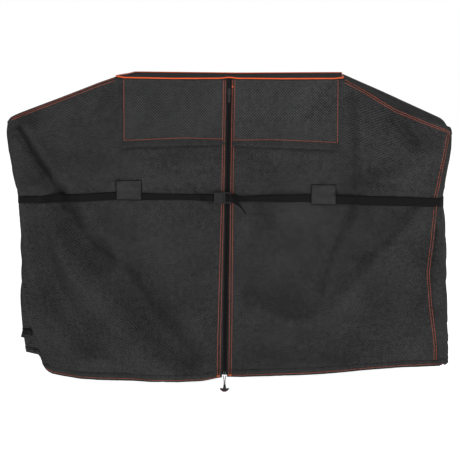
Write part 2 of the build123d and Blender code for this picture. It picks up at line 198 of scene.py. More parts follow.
# %% Shader maths
class Value:
    """A socket that can be added, multiplied and compared; each operation adds a Math node."""

    def __init__(self, paint, socket):
        self.paint = paint
        self.socket = socket

    def maths(self, operation, *others):
        return self.paint.node("ShaderNodeMath", {"operation": operation}, [self, *others])

    def __add__(self, other):
        return self.maths("ADD", other)

    __radd__ = __add__

    def __mul__(self, other):
        return self.maths("MULTIPLY", other)

    __rmul__ = __mul__

    def __sub__(self, other):
        return self.maths("SUBTRACT", other)

    def __rsub__(self, other):
        return (self * -1.0) + other

    def sine(self):
        return self.maths("SINE")

    def absolute(self):
        return self.maths("ABSOLUTE")

    def above(self, limit):
        return self.maths("GREATER_THAN", limit)

    def smooth(self, low, high):
        settings = {"interpolation_type": "SMOOTHSTEP"}
        inputs = {"Value": self, "From Min": low, "From Max": high}
        return self.paint.node("ShaderNodeMapRange", settings, inputs)


class Paint:
    """One material, with its nodes."""

    def __init__(self, name):
        self.material = bpy.data.materials.new(name)
        self.material.use_nodes = True
        self.tree = self.material.node_tree
        self.shader = self.tree.nodes["Principled BSDF"]

    def node(self, kind, settings, inputs, output=0):
        made = self.tree.nodes.new(kind)
        for key, value in settings.items():
            if key == "stops":
                ramp = made.color_ramp
                for element, (place, colour) in zip(ramp.elements, value):
                    element.position = place
                    element.color = (*colour, 1)
            else:
                setattr(made, key, value)
        pairs = inputs.items() if isinstance(inputs, dict) else enumerate(inputs)
        for key, value in pairs:
            self.put(made.inputs[key], value)
        return Value(self, made.outputs[output])

    def put(self, socket, value):
        if isinstance(value, Value):
            self.tree.links.new(value.socket, socket)
        else:
            socket.default_value = value

    def set(self, **values):
        """Constant values on the shader's own sockets, by name."""
        for key, value in values.items():
            self.shader.inputs[key.replace("_", " ")].default_value = value

    def feed(self, name, value):
        self.put(self.shader.inputs[name], value)

    def parts_of(self, vector):
        made = self.tree.nodes.new("ShaderNodeSeparateXYZ")
        self.tree.links.new(vector.socket, made.inputs[0])
        return [Value(self, made.outputs[index]) for index in range(3)]

    def object_place(self):
        return self.node("ShaderNodeTexCoord", {}, {}, "Object")

    def cloth_place(self):
        return self.node("ShaderNodeUVMap", {"uv_map": "weave"}, {})

    def speckle(self, place, scale, detail=2.0, rough=0.5):
        inputs = {"Vector": place, "Scale": scale, "Detail": detail, "Roughness": rough}
        return self.node("ShaderNodeTexNoise", {}, inputs)

    def between(self, share, first, second):
        """A colour that goes from first to second."""
        made = self.tree.nodes.new("ShaderNodeMix")
        made.data_type = "RGBA"
        self.put(made.inputs[0], share)
        for socket, value in ((made.inputs[6], first), (made.inputs[7], second)):
            self.put(socket, value if isinstance(value, Value) else (*value, 1))
        return Value(self, made.outputs[2])

    def bump(self, height, distance, strength=1.0, under=None):
        inputs = {"Strength": strength, "Distance": distance, "Height": height}
        if under is not None:
            inputs["Normal"] = under
        return self.node("ShaderNodeBump", {}, inputs)


print("shader helpers ready")

# %% [markdown]
# ## The cloth's finish
# The skin is taken to be polyester in a fine plain weave, with a raised diamond figure about a centimetre
# across. The figure is two sets of lines at 45 degrees on the cloth's own UV map, which is laid out in
# metres, so the weave keeps its scale on every panel. Broad noise gives the uneven dye, fine noise the yarns.


# %% Woven cover cloth
def woven_cloth(name, dark, light, figure=0.0105, strength=0.31):
    paint = Paint(name)
    place = paint.cloth_place()
    across, along, _ = paint.parts_of(place)
    turns = math.pi / figure
    rising = ((across + along) * turns).sine().absolute()
    falling = ((across - along) * turns).sine().absolute()
    diamond = rising * falling
    yarn = (across * (math.pi / 0.0009)).sine() * (along * (math.pi / 0.0009)).sine()
    cloudy = paint.speckle(place, 5.0, 3.0, 0.6)
    mottle = paint.speckle(place, 60.0, 3.0, 0.6)
    grain = paint.speckle(place, 420.0, 1.0)
    slubs = paint.speckle(place, 230.0, 1.0)
    share = diamond.smooth(0.05, 0.75) * strength + cloudy * 0.42 + mottle * 0.58
    share = share + slubs * 1.05 + grain * 0.65 - 1.15
    paint.feed("Base Color", paint.between(share, dark, light))
    paint.feed("Roughness", mottle * 0.16 + 0.78)
    relief = diamond * 0.5 + yarn * 0.12 + grain * 0.35
    paint.feed("Normal", paint.bump(relief, 0.0009, 0.55))
    paint.set(IOR=1.12)
    return paint.material


cover_cloth = woven_cloth("cover_cloth", (0.006, 0.006, 0.0064), (0.080, 0.080, 0.081))
flap_cloth = woven_cloth("flap_cloth", (0.006, 0.006, 0.0064), (0.084, 0.084, 0.085), strength=0.42)


# %% Webbing, thread, piping and cord
def webbing_finish(name):
    paint = Paint(name)
    across, along, _ = paint.parts_of(paint.cloth_place())
    ribs = (along * (math.pi / 0.0011)).sine()
    bands = (across * (math.pi / 0.0028)).sine().absolute()
    wear = paint.speckle(paint.object_place(), 90.0, 3.0)
    share = bands * 0.4 + ribs * 0.2 + wear * 0.5
    paint.feed("Base Color", paint.between(share, (0.0015, 0.0015, 0.0017), (0.010, 0.010, 0.0106)))
    paint.feed("Roughness", wear * 0.2 + 0.6)
    paint.feed("Normal", paint.bump(bands * 0.7 + ribs * 0.3, 0.0005, 0.7))
    paint.set(IOR=1.2)
    return paint.material


def yarn_finish(name, dark, light, twist=0.0012, sheen=0.2):
    paint = Paint(name)
    place = paint.object_place()
    x, y, z = paint.parts_of(place)
    strands = ((x + y + z) * (math.pi / twist)).sine()
    uneven = paint.speckle(place, 130.0, 2.0)
    share = strands * 0.25 + uneven * 0.9
    paint.feed("Base Color", paint.between(share, dark, light))
    paint.feed("Roughness", uneven * 0.2 + 0.5)
    paint.feed("Normal", paint.bump(strands, 0.0002, 0.6))
    paint.set(Sheen_Weight=sheen, Specular_IOR_Level=0.1)
    return paint.material


webbing_black = webbing_finish("webbing_black")
thread_orange = yarn_finish("thread_orange", (0.55, 0.085, 0.024), (0.80, 0.17, 0.055))
thread_black = yarn_finish("thread_black", (0.008, 0.008, 0.008), (0.02, 0.02, 0.02))
piping_orange = yarn_finish("piping_orange", (0.74, 0.085, 0.018), (0.92, 0.16, 0.04), 0.0016)
cord_black = yarn_finish("cord_black", (0.01, 0.01, 0.01), (0.04, 0.04, 0.04), 0.0014)
tape_black = yarn_finish("tape_black", (0.003, 0.003, 0.0032), (0.011, 0.011, 0.0115), 0.0009, 0.0)


# %% Moulded plastic, enamelled metal and steel
def moulded(name, colour, gloss=0.35, shine=0.5):
    paint = Paint(name)
    place = paint.object_place()
    grain = paint.speckle(place, 700.0, 2.0)
    scuffs = paint.speckle(place, 45.0, 4.0, 0.7)
    lighter = tuple(min(1.0, channel * 1.7 + 0.004) for channel in colour)
    paint.feed("Base Color", paint.between(scuffs * 0.6 + grain * 0.2, colour, lighter))
    paint.feed("Roughness", scuffs * 0.25 + gloss)
    paint.feed("Normal", paint.bump(grain, 0.0002, 0.4))
    paint.set(Specular_IOR_Level=shine)
    return paint.material


nylon_black = moulded("nylon_black", (0.003, 0.003, 0.0032), 0.22, 0.3)
coil_black = moulded("coil_black", (0.003, 0.003, 0.0032), 0.5, 0.08)
plastic_orange = moulded("plastic_orange", (0.72, 0.06, 0.03), 0.3)
enamel_black = moulded("enamel_black", (0.01, 0.01, 0.01), 0.18)
enamel_black.node_tree.nodes["Principled BSDF"].inputs["Metallic"].default_value = 0.3
spring_steel = moulded("spring_steel", (0.45, 0.45, 0.46), 0.25)
spring_steel.node_tree.nodes["Principled BSDF"].inputs["Metallic"].default_value = 1.0

floor_paint = Paint("floor_paint")
floor_paint.set(Base_Color=(0.93, 0.93, 0.93, 1), Roughness=0.9)
floor_paint.set(Emission_Color=(1, 1, 1, 1), Emission_Strength=0.98)
floor_mesh.materials.append(floor_paint.material)
print("materials", len(bpy.data.materials))

# %% [markdown]
# ## The skin as one sheet
# On the real cover the panels are sewn into one bag, so folds run through the seams. The bag starts as a
# cube with no bottom, cut into a grid of cells about 15 mm across, and its cells are then carried to where
# the cloth hangs. Grid lines are kept on the seams and on both edges of the zip, so that the finished skin
# comes apart into its panels along them.

# %% The grid
shoulder_cells = 28
top_cells = 28
across_cells = 2 * (shoulder_cells + top_cells) + 1
deep_cells = 40
tall_cells = 76
seam_cells = 3
left_wrap_cells = 2

left_columns = np.concatenate(
    [
        np.linspace(-half_shoulder, -half_top, shoulder_cells + 1)[:-1],
        np.linspace(-half_top, -zip_half_gap, top_cells + 1),
    ]
)
columns = np.concatenate([left_columns, -left_columns[::-1]])

bm = bmesh.new()
bmesh.ops.create_cube(bm, size=2.0)
bottom = [face for face in bm.faces if face.normal.z < -0.5]
bmesh.ops.delete(bm, geom=bottom, context="FACES_ONLY")
for axis, cells in ((0, across_cells), (1, deep_cells), (2, tall_cells)):
    others = [index for index in range(3) if index != axis]
    edges = []
    for edge in bm.edges:
        step = edge.verts[1].co - edge.verts[0].co
        if all(abs(step[index]) < 1e-5 for index in others):
            edges.append(edge)
    bmesh.ops.subdivide_edges(bm, edges=edges, cuts=cells - 1, use_grid_fill=True)
bmesh.ops.recalc_face_normals(bm, faces=bm.faces)
bm.verts.ensure_lookup_table()
grid = np.array([vert.co[:] for vert in bm.verts])
print("skin grid", len(bm.verts), "points", len(bm.faces), "cells")

# %% [markdown]
# ## Where the cloth hangs
# A few outlines say where the cloth goes: the roof line along x, how far each side stands out at each
# height, and the height of the hem all the way round. The left shoulder sits higher than the right one,
# the skirt is drawn in under the belt, and the hem is lowest left of the zip. At the lower left the cloth
# is gathered: the front's corner is pulled in, and the side comes out behind it in two soft pleats.


# %% Outlines
def line(value, *points):
    """Reads a line through (place, height) points, with its corners eased."""
    places = np.array([point[0] for point in points], float)
    heights = np.array([point[1] for point in points], float)
    return np.interp(value, places, heights)


def ease(value, low, high):
    share = np.clip((value - low) / (high - low), 0, 1)
    return share * share * (3 - 2 * share)


def roof(x, back=0.0):
    """Height of the roof line; back goes from 0 at the front to 1 at the back."""
    front = line(
        x, (-0.838, -0.166), (-0.828, -0.148), (-0.80, -0.135), (-0.646, -0.076), (-0.57, -0.046),
        (-0.495, -0.016), (-0.425, 0.008), (-0.395, 0.002), (-0.20, -0.001), (-0.03, 0.000), (0.0, 0.004),
        (0.03, 0.0), (0.20, -0.001), (0.395, 0.000), (0.425, 0.004), (0.50, -0.036), (0.62, -0.109),
        (0.72, -0.150), (0.815, -0.186), (0.838, -0.200),
    )
    rear = line(
        x, (-0.838, -0.160), (-0.425, 0.004), (0.0, 0.0), (0.425, 0.003), (0.59, -0.068), (0.756, -0.143),
        (0.838, -0.180),
    )
    return front + (rear - front) * back


def left_reach(z):
    """How far the widest part of the left side stands out."""
    return line(
        z, (-1.14, 0.868), (-1.04, 0.865), (-0.97, 0.857), (-0.92, 0.846), (-0.88, 0.838), (-0.80, 0.822),
        (-0.70, 0.804), (-0.60, 0.800), (-0.55, 0.802), (-0.45, 0.811), (-0.36, 0.828), (-0.27, 0.842),
        (-0.21, 0.848), (-0.16, 0.845),
    )


def left_corner(z):
    """How far the front's left corner stands out, which is pulled in towards the hem."""
    return line(
        z, (-1.15, 0.722), (-1.05, 0.727), (-0.97, 0.742), (-0.85, 0.765), (-0.70, 0.790), (-0.55, 0.802),
        (-0.45, 0.811), (-0.36, 0.828), (-0.27, 0.842), (-0.21, 0.848), (-0.16, 0.845),
    )


def right_reach(z):
    return line(
        z, (-1.14, 0.829), (-0.76, 0.826), (-0.65, 0.822), (-0.53, 0.812), (-0.45, 0.807), (-0.38, 0.812),
        (-0.31, 0.822), (-0.24, 0.832), (-0.18, 0.835),
    )


def right_seam(z):
    """x of the seam between the front and the right side, which shows on the front."""
    return line(
        z, (-1.14, 0.797), (-1.0, 0.792), (-0.93, 0.782), (-0.85, 0.771), (-0.73, 0.762), (-0.60, 0.777),
        (-0.49, 0.783), (-0.44, 0.785), (-0.33, 0.806), (-0.20, 0.829), (-0.17, 0.831),
    )


def front_hem(x):
    return line(
        x, (-0.73, -1.108), (-0.705, -1.122), (-0.684, -1.131), (-0.646, -1.139), (-0.57, -1.150),
        (-0.495, -1.155), (-0.40, -1.158), (-0.30, -1.160), (-0.19, -1.160), (-0.10, -1.155),
        (-0.045, -1.148), (-0.012, -1.143), (0.012, -1.140), (0.20, -1.136), (0.30, -1.132),
        (0.40, -1.124), (0.50, -1.113), (0.65, -1.099), (0.80, -1.090), (0.84, -1.080),
    )


def left_hem(share):
    return line(
        share, (0, -1.108), (0.10, -1.088), (0.125, -1.080), (0.15, -1.070), (0.20, -1.064), (0.325, -1.044),
        (0.35, -1.037), (0.45, -1.040), (0.60, -1.062), (0.80, -1.082), (0.95, -1.106), (1, -1.110),
    )


def right_hem(share):
    return line(share, (0, -1.090), (0.1, -1.088), (0.5, -1.10), (0.8, -1.12), (1, -1.13))


print("outlines ready")

# %% [markdown]
# Folds in the cloth are valleys: soft creases that run from where the cloth is pulled, such as a shoulder
# tip or the belt, and fade out. Each one is a short line on the front with a width and a depth. Broad
# noise adds the slow swell that cloth always has.

# %% Folds
# (points in x and z, width, depth): valleys are positive, ridges negative
front_folds = [
    ([(-0.83, -0.155), (-0.77, -0.235), (-0.715, -0.33), (-0.655, -0.43)], 0.018, 0.020),
    ([(-0.77, -0.20), (-0.66, -0.33)], 0.045, -0.010),
    ([(-0.655, -0.45), (-0.62, -0.52), (-0.56, -0.61), (-0.495, -0.675)], 0.036, 0.026),
    ([(-0.495, -0.675), (-0.392, -0.762), (-0.279, -0.913), (-0.165, -1.053)], 0.048, 0.024),
    ([(-0.66, -0.62), (-0.55, -0.76), (-0.42, -0.92), (-0.30, -1.06)], 0.060, -0.014),
    ([(-0.76, -0.50), (-0.69, -0.72), (-0.57, -0.95)], 0.050, 0.010),
    ([(-0.70, -0.40), (-0.735, -0.30)], 0.035, -0.008),
    ([(-0.44, -0.06), (-0.435, -0.22), (-0.43, -0.38)], 0.012, 0.007),
    ([(-0.42, -0.03), (-0.62, -0.20)], 0.022, 0.006),
    ([(-0.60, -0.14), (-0.50, -0.30)], 0.035, 0.006),
    ([(0.455, -0.06), (0.470, -0.231), (0.472, -0.390)], 0.010, 0.009),
    ([(0.50, -0.10), (0.505, -0.30)], 0.028, -0.008),
    ([(0.60, -0.125), (0.645, -0.17), (0.69, -0.235)], 0.017, 0.011),
    ([(0.479, -0.366), (0.54, -0.383), (0.64, -0.402)], 0.009, 0.007),
    ([(0.52, -0.41), (0.62, -0.36), (0.76, -0.27)], 0.040, -0.009),
    ([(0.70, -0.48), (0.64, -0.545), (0.593, -0.599), (0.502, -0.675)], 0.011, 0.010),
    ([(0.472, -0.485), (0.4415, -0.546), (0.388, -0.648), (0.347, -0.80)], 0.011, 0.011),
    ([(0.50, -0.50), (0.53, -0.60)], 0.028, -0.008),
    (
        [(0.10, -0.85), (0.20, -0.90), (0.30, -0.915), (0.415, -0.838), (0.529, -0.7125), (0.654, -0.561)],
        0.040, -0.016,
    ),
    ([(0.24, -0.66), (0.31, -0.80), (0.32, -0.90)], 0.035, -0.010),
    ([(0.22, -0.56), (0.30, -0.70)], 0.040, 0.007),
    ([(0.10, -1.00), (0.40, -1.02), (0.62, -0.80)], 0.055, 0.010),
    ([(-0.20, -0.34), (-0.125, -0.425)], 0.012, 0.005),
    ([(-0.19, -0.33), (-0.10, -0.345)], 0.010, 0.004),
    ([(0.10, -0.46), (0.17, -0.54)], 0.010, 0.005),
    ([(0.22, -0.50), (0.12, -0.62)], 0.050, -0.008),
    ([(0.35, -0.38), (0.39, -0.32)], 0.012, 0.005),
    ([(0.75, -0.60), (0.70, -0.85)], 0.050, 0.010),
    ([(-0.30, -0.52), (-0.20, -0.70), (-0.15, -0.9)], 0.070, -0.008),
    ([(-0.437, -0.04), (-0.441, -0.20), (-0.432, -0.35)], 0.007, 0.0025),
]


def distance_to(points, x, z):
    """Distance of each place on the front from a line of points."""
    best = np.full(x.shape, 9.0)
    for (x0, z0), (x1, z1) in zip(points, points[1:]):
        run = np.array((x1 - x0, z1 - z0))
        share = ((x - x0) * run[0] + (z - z0) * run[1]) / (run @ run)
        share = np.clip(share, 0, 1)
        best = np.minimum(best, np.hypot(x - x0 - share * run[0], z - z0 - share * run[1]))
    return best


def swell(a, b, size, seed):
    """Smooth noise in -1 to 1 at each place, with hills of about that size."""
    return np.array([noise.noise(Vector((p / size, q / size, seed))) for p, q in zip(a, b)])


def front_relief(x, z):
    """How far the front stands out from its flat plane."""
    relief = 0.009 * swell(x, z, 0.22, 3.0) + 0.0030 * swell(x, z, 0.075, 8.0)
    relief += 0.0016 * swell(x, z, 0.035, 15.0)
    layers = {-1: [np.zeros(x.shape), np.zeros(x.shape)], 1: [np.zeros(x.shape), np.zeros(x.shape)]}
    for points, width, depth in front_folds:
        near = distance_to(points, x, z)
        layer = layers[1 if depth > 0 else -1]
        layer[0] = np.maximum(layer[0], abs(depth) * np.exp(-((near / width) ** 2)))
        layer[1] = np.maximum(layer[1], 0.4 * abs(depth) * np.exp(-(((near - 2.1 * width) / width) ** 2)))
    relief += 1.9 * (layers[-1][0] - layers[-1][1] - layers[1][0] + layers[1][1])
    belt = np.exp(-(((z - belt_z) / 0.030) ** 2)) * ease(np.abs(x), 0.10, 0.5)
    gathers = 0.003 * np.sin(x * 2 * np.pi / 0.052) * np.exp(-(((z - belt_z) / 0.075) ** 2))
    gathers *= ease(np.abs(x), 0.45, 0.6)
    relief += gathers - 0.004 * belt
    relief += 0.010 * ease(-z, 0.75, 1.1) * swell(x, z * 0.3, 0.34, 5.0)
    left_out = 0.020 * ease(-z, 0.5, 1.1) * ease(-x, 0.05, 0.3)
    right_in = 0.022 * ease(-z, 0.92, 1.13) * ease(x, 0.0, 0.2)
    relief += left_out - right_in
    return relief


print("folds", len(front_folds))

# %% Carry the grid to where the cloth hangs
u, v, w = grid.T
column = np.rint((u + 1) / 2 * across_cells).astype(int)
share_up = (w + 1) / 2
base_x = columns[column]
on_front = v < -1 + 1e-6
on_back = v > 1 - 1e-6
on_left = u < -1 + 1e-6
on_right = u > 1 - 1e-6
on_top = w > 1 - 1e-6
from_front = (v + 1) / 2

tip_x = np.where(base_x < 0, -0.838, 0.838) * np.abs(base_x) / half_shoulder
roof_z = roof(np.where(np.abs(base_x) > half_top, tip_x, base_x), ease(from_front, 0.0, 0.8))
foot_reach = np.where(base_x < 0, 0.722, 0.829)
foot_x = base_x + np.sign(base_x) * (foot_reach - half_shoulder) * ease(np.abs(base_x), 0.40, half_shoulder)
hem_front = front_hem(foot_x)
hem_back = -1.124 + 0.006 * np.sin(base_x * 9.0) + 0.016 * ease(-base_x, 0.5, 0.83)
hem_side = np.where(u < 0, left_hem(from_front), right_hem(from_front))
hem = np.where(on_front, hem_front, np.where(on_back, hem_back, hem_side))
z = hem + share_up * (roof_z - hem)

edge = ease(np.abs(base_x), 0.40, half_shoulder)
reach = np.where(base_x < 0, np.where(on_front, left_corner(z), left_reach(z)), right_reach(z))
x = base_x + np.sign(base_x) * (reach - half_shoulder) * edge
upright = 1 - ease(np.abs(base_x), 0.02, 0.38)
x = x + np.where(on_front & ~on_top | (on_front & on_top), zip_line(z) * upright, 0)

seam_base = columns[across_cells - seam_cells]
seam_now = seam_base + (right_reach(z) - half_shoulder) * ease(seam_base, 0.40, half_shoulder)
pull = ease(base_x, 0.42, seam_base) * np.clip((half_shoulder - base_x) / (half_shoulder - seam_base), 0, 1)
x = np.where(on_front & (base_x > 0), x + (right_seam(z) - seam_now) * pull, x)

low = ease(-z, 0.5, 1.1)
pleat = line(
    from_front, (0, 0), (0.125, 0.06), (0.15, 0.50), (0.20, 0.48), (0.30, 0.46), (0.325, 0.52), (0.35, 0.98),
    (0.45, 1.0), (0.70, 0.92), (0.85, 0.8), (1, 0.55),
)
corner_x = left_corner(z)
pleated = -(corner_x + (left_reach(z) - corner_x) * pleat)
x = np.where(on_left & ~on_front, (1 - low) * -left_reach(z) + low * pleated, x)
y = v * half_depth
print("hem from", round(float(z.min()), 3), "roof to", round(float(z.max()), 3))

# %% [markdown]
# The corners of the bag are round, because cloth can't hold a sharp upright edge. Near a corner the cells
# are moved on to an arc. Then the relief is added: outwards on the front, and as soft upright drapes on
# the sides and the back, which swing out more towards the hem.

# %% Round corners and drapes
radius = 0.016 + np.where((u < 0) & (v < 0), 0.006, 0.030) * ease(-z, 0.20, 0.8)
outer = np.abs(np.where(on_front | on_back, reach, np.abs(x)))
for sign_y in (-1, 1):
    on_face = (v * sign_y > 1 - 1e-6) & ~on_top
    face_gap = np.clip(outer - np.abs(x), 0, None)
    near = on_face & (face_gap < radius) & (np.abs(base_x) > half_top)
    turn = math.pi / 4 * (1 - face_gap / radius)
    centre_x = np.sign(u) * (outer - radius)
    x = np.where(near, centre_x + np.sign(u) * radius * np.sin(turn), x)
    y = np.where(near, sign_y * (half_depth - radius + radius * np.cos(turn)), y)
    on_side = (on_left | on_right) & ~on_top & ~(on_front | on_back)
    side_gap = half_depth - np.abs(y)
    near = on_side & (side_gap < radius) & (v * sign_y > 0)
    turn = math.pi / 2 - math.pi / 4 * (1 - side_gap / radius)
    centre_x = np.sign(u) * (np.abs(x) - radius)
    new_x = centre_x + np.sign(u) * radius * np.sin(turn)
    new_y = sign_y * (half_depth - radius + radius * np.cos(turn))
    x, y = np.where(near, new_x, x), np.where(near, new_y, y)

from_zip = np.abs(x - zip_line(z))
flat_zip = ease(from_zip, 0.018, 0.08)
under_flap = 1 - ease(np.abs(x), half_top - 0.01, half_top + 0.03) * 1.0
under_flap = np.maximum(1 - under_flap, ease(-z, 0.262, 0.33))
at_seam = ease(roof_z - z, 0.004, 0.06)
near_corner = 1 - ease(np.abs(base_x), half_shoulder - 0.05, half_shoulder)
front_out = front_relief(x, z)
front_out = front_out * under_flap
y = np.where(on_front, y - front_out * flat_zip * at_seam * near_corner, y)

drape = ease(-z, 0.45, 1.12)
wave = np.sin(base_x * 2 * math.pi / 0.31 + 1.5 * swell(base_x, z * 0.3, 0.5, 1.0))
back_out = 0.010 * drape * wave + 0.008 * swell(base_x, z, 0.25, 12.0) - 0.003
y = np.where(on_back, y + back_out * at_seam * near_corner, y)
deep = v * half_depth
away = ease(half_depth - np.abs(deep), 0.0, 0.06)
side_wave = np.sin(deep * 2 * math.pi / 0.24 + 0.8)
drawn_in = 0.004 * np.exp(-(((z - belt_z) / 0.03) ** 2))
side_out = 0.009 * drape * side_wave + 0.007 * swell(deep, z, 0.2, 20.0) - drawn_in
side_out = side_out * away * at_seam
x = np.where((on_left | on_right) & ~on_top, x + np.sign(u) * side_out, x)

strap_z = (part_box("left_front_strap")[0].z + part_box("left_front_strap")[1].z) / 2
strap_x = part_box("right_strap_buckle_socket")[0].x - 0.0022
hollow = np.exp(-(((z - strap_z) / 0.045) ** 4)) * np.exp(-((deep - 0.012) / 0.082) ** 4)
hollow = np.where((on_left | on_right) & ~on_top, hollow, 0)
x = x - np.sign(u) * np.clip(np.abs(x) - strap_x, 0, None) * np.clip(hollow * 1.5, 0, 1)

sag = -0.006 * (1 - (x / half_top) ** 2) * (1 - (deep / half_depth) ** 2)
top_in = on_top & (np.abs(x) < half_top) & ~on_front & ~on_back
z = np.where(top_in, z + sag + 0.0015 * swell(x, deep, 0.12, 30.0), z)
slope_in = on_top & (np.abs(x) >= half_top) & ~on_front & ~on_back & ~on_left & ~on_right
bulge = (1 - (deep / half_depth) ** 2) * ease(np.abs(x) - half_top, 0.0, 0.08)
z = np.where(slope_in, z + (0.005 * swell(x, deep, 0.16, 33.0) - 0.002) * bulge, z)
for vert, place in zip(bm.verts, np.stack([x, y, z], 1)):
    vert.co = place
rounded = [vert for vert, keep in zip(bm.verts, on_top | (column == 0) | (column == across_cells)) if keep]
soft = [vert for vert in rounded if abs(vert.co.x) > half_top + 0.01]
bmesh.ops.smooth_vert(bm, verts=soft, factor=0.3, use_axis_x=True, use_axis_y=True, use_axis_z=True)
print("skin shaped", len(soft), "edge points eased")

# %% [markdown]
# ## Settling the cloth
# Sewn cloth is never as smooth as its pattern: between the seams that hold it there is always a little
# spare. The shaped skin is run through a short cloth simulation in which it is about one per cent too
# large, held at the roof, the zip, the seams and under the belt. It buckles into the small uneven wrinkles
# that code can't draw well. How far a point may move is capped.

# %% Cloth simulation
held_share = np.zeros(len(z))
held_share[on_top] = 1.0
seam_gap = np.minimum(np.abs(x - zip_line(z)) - zip_half_gap, half_shoulder - np.abs(base_x))
held_share = np.maximum(held_share, np.where(on_front, 1 - ease(seam_gap, 0.012, 0.05), 0))
held_share = np.maximum(held_share, 1 - ease(np.abs(z - belt_z), 0.014, 0.035))
held_share = np.maximum(held_share, 0.5 * (1 - ease(z - hem, 0.0, 0.05)))
held_share = np.maximum(held_share, hollow)
held_share = np.maximum(held_share, 1 - ease(roof_z - z, 0.0, 0.03))
settle_frames = 18
settling_mesh = bpy.data.meshes.new("settling")
bm.to_mesh(settling_mesh)
settling = bpy.data.objects.new("settling", settling_mesh)
bpy.context.scene.collection.objects.link(settling)
group = settling.vertex_groups.new(name="held")
for index, share in enumerate(held_share):
    group.add([index], float(share), "REPLACE")
cloth = settling.modifiers.new("cloth", "CLOTH")
settings = {
    "quality": 5, "mass": 0.2, "tension_stiffness": 20, "compression_stiffness": 20,
    "shear_stiffness": 8, "bending_stiffness": 0.6, "air_damping": 4,
    "vertex_group_mass": "held", "shrink_min": -0.012,
}
for setting, value in settings.items():
    setattr(cloth.settings, setting, value)
cloth.settings.effector_weights.gravity = 0.4
cloth.collision_settings.use_collision = False
cloth.point_cache.frame_start = 1
cloth.point_cache.frame_end = settle_frames
for number in range(1, settle_frames + 1):
    bpy.context.scene.frame_set(number)
settled = settling.evaluated_get(bpy.context.evaluated_depsgraph_get()).data
moved = np.empty(len(z) * 3)
settled.vertices.foreach_get("co", moved)
shift = moved.reshape(-1, 3) - np.stack([vert.co[:] for vert in bm.verts])
size = np.linalg.norm(shift, axis=1)
cap = 0.009
shift *= (cap * np.tanh(size / cap) / np.maximum(size, 1e-9))[:, None]
shift *= (1 - held_share)[:, None]
for vert, step in zip(bm.verts, shift):
    vert.co += Vector(step)
bpy.data.objects.remove(settling)
bpy.context.scene.frame_set(1)
print("settled, mean move", round(float(size.mean()), 5), "largest", round(float(size.max()), 4))

# %% [markdown]
# The cloth's UV map is the flat cut of each panel, in metres, so the weave is never stretched. Every face
# also remembers which panel it belongs to.

# %% Flat cut and panels
weave_map = bm.loops.layers.uv.new("weave")
panel_of = bm.faces.layers.int.new("panel")
panel_names = [
    "left_front", "right_front", "back", "left_side", "right_side", "top", "left_shoulder", "right_shoulder",
    "zip_gap",
]
right_edge = across_cells - seam_cells
for face in bm.faces:
    indices = [vert.index for vert in face.verts]
    middle = grid[indices].mean(axis=0)
    cell = int((middle[0] + 1) / 2 * across_cells)
    if middle[2] > 1 - 1e-6:
        first, second = base_x, v * half_depth
        name = "top" if shoulder_cells <= cell < across_cells - shoulder_cells else "shoulder"
        if name == "shoulder":
            name = ("left_" if middle[0] < 0 else "right_") + name
    elif abs(middle[1]) > 1 - 1e-6:
        first, second = base_x, share_up * -hem_z
        if middle[1] > 0:
            name = "back"
        elif cell == shoulder_cells + top_cells:
            name = "zip_gap"
        elif cell < shoulder_cells + top_cells:
            name = "left_front"
        else:
            name = "right_front" if cell < right_edge else "right_side"
    else:
        first, second = v * half_depth, share_up * -hem_z
        deep_cell = int((middle[1] + 1) / 2 * deep_cells)
        name = "right_side" if middle[0] > 0 else "left_side"
        if name == "left_side" and deep_cell < left_wrap_cells:
            name = "left_front"
    face[panel_of] = panel_names.index(name)
    face.smooth = True
    for loop in face.loops:
        loop[weave_map].uv = (first[loop.vert.index], second[loop.vert.index])
bm.normal_update()
outward = sum(1 for face in bm.faces if face.normal.dot(face.calc_center_median() - centre) > 0)
print("faces pointing out", outward, "of", len(bm.faces))
if outward < len(bm.faces) / 2:
    bmesh.ops.reverse_faces(bm, faces=bm.faces)


# %% Cut the skin into panels
def hang(name, mesh, body, material):
    """Makes an object of a finished mesh and hangs it on a CAD body."""
    made = bpy.data.objects.new(name, mesh)
    bpy.context.scene.collection.objects.link(made)
    if material is not None:
        mesh.materials.clear()
        mesh.materials.append(material)
    if body is not None:
        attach(made, body)
    return made


def thicken(piece, thickness, offset=-1.0):
    wall = piece.modifiers.new("thickness", "SOLIDIFY")
    wall.thickness = thickness
    wall.offset = offset
    return piece


def faces_in(keep_face, name):
    """A new mesh of the skin's faces that keep_face chooses."""
    part = bm.copy()
    layer = part.faces.layers.int["panel"]
    unwanted = [face for face in part.faces if not keep_face(face, layer)]
    bmesh.ops.delete(part, geom=unwanted, context="FACES")
    mesh = mesh_of(part, name)
    return mesh


panel_cuts = {
    "left_front": (0.86, 1.15), "right_front": (0.82, 1.14), "back": (1.67, 1.13),
    "left_side": (0.58, 0.97), "right_side": (0.66, 0.97), "top": (0.85, 0.61),
    "left_shoulder": (0.45, 0.61), "right_shoulder": (0.45, 0.61),
}
panels = {}
for index, name in enumerate(panel_names[:-1]):
    mesh = faces_in(lambda face, layer, index=index: face[layer] == index, name + "_cloth")
    piece = hang(name + "_cloth", mesh, "cover", cover_cloth)
    thicken(piece, fabric * 0.9)
    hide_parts(name + "_panel")
    panels[name] = piece
    print(name, len(mesh.polygons), "faces")

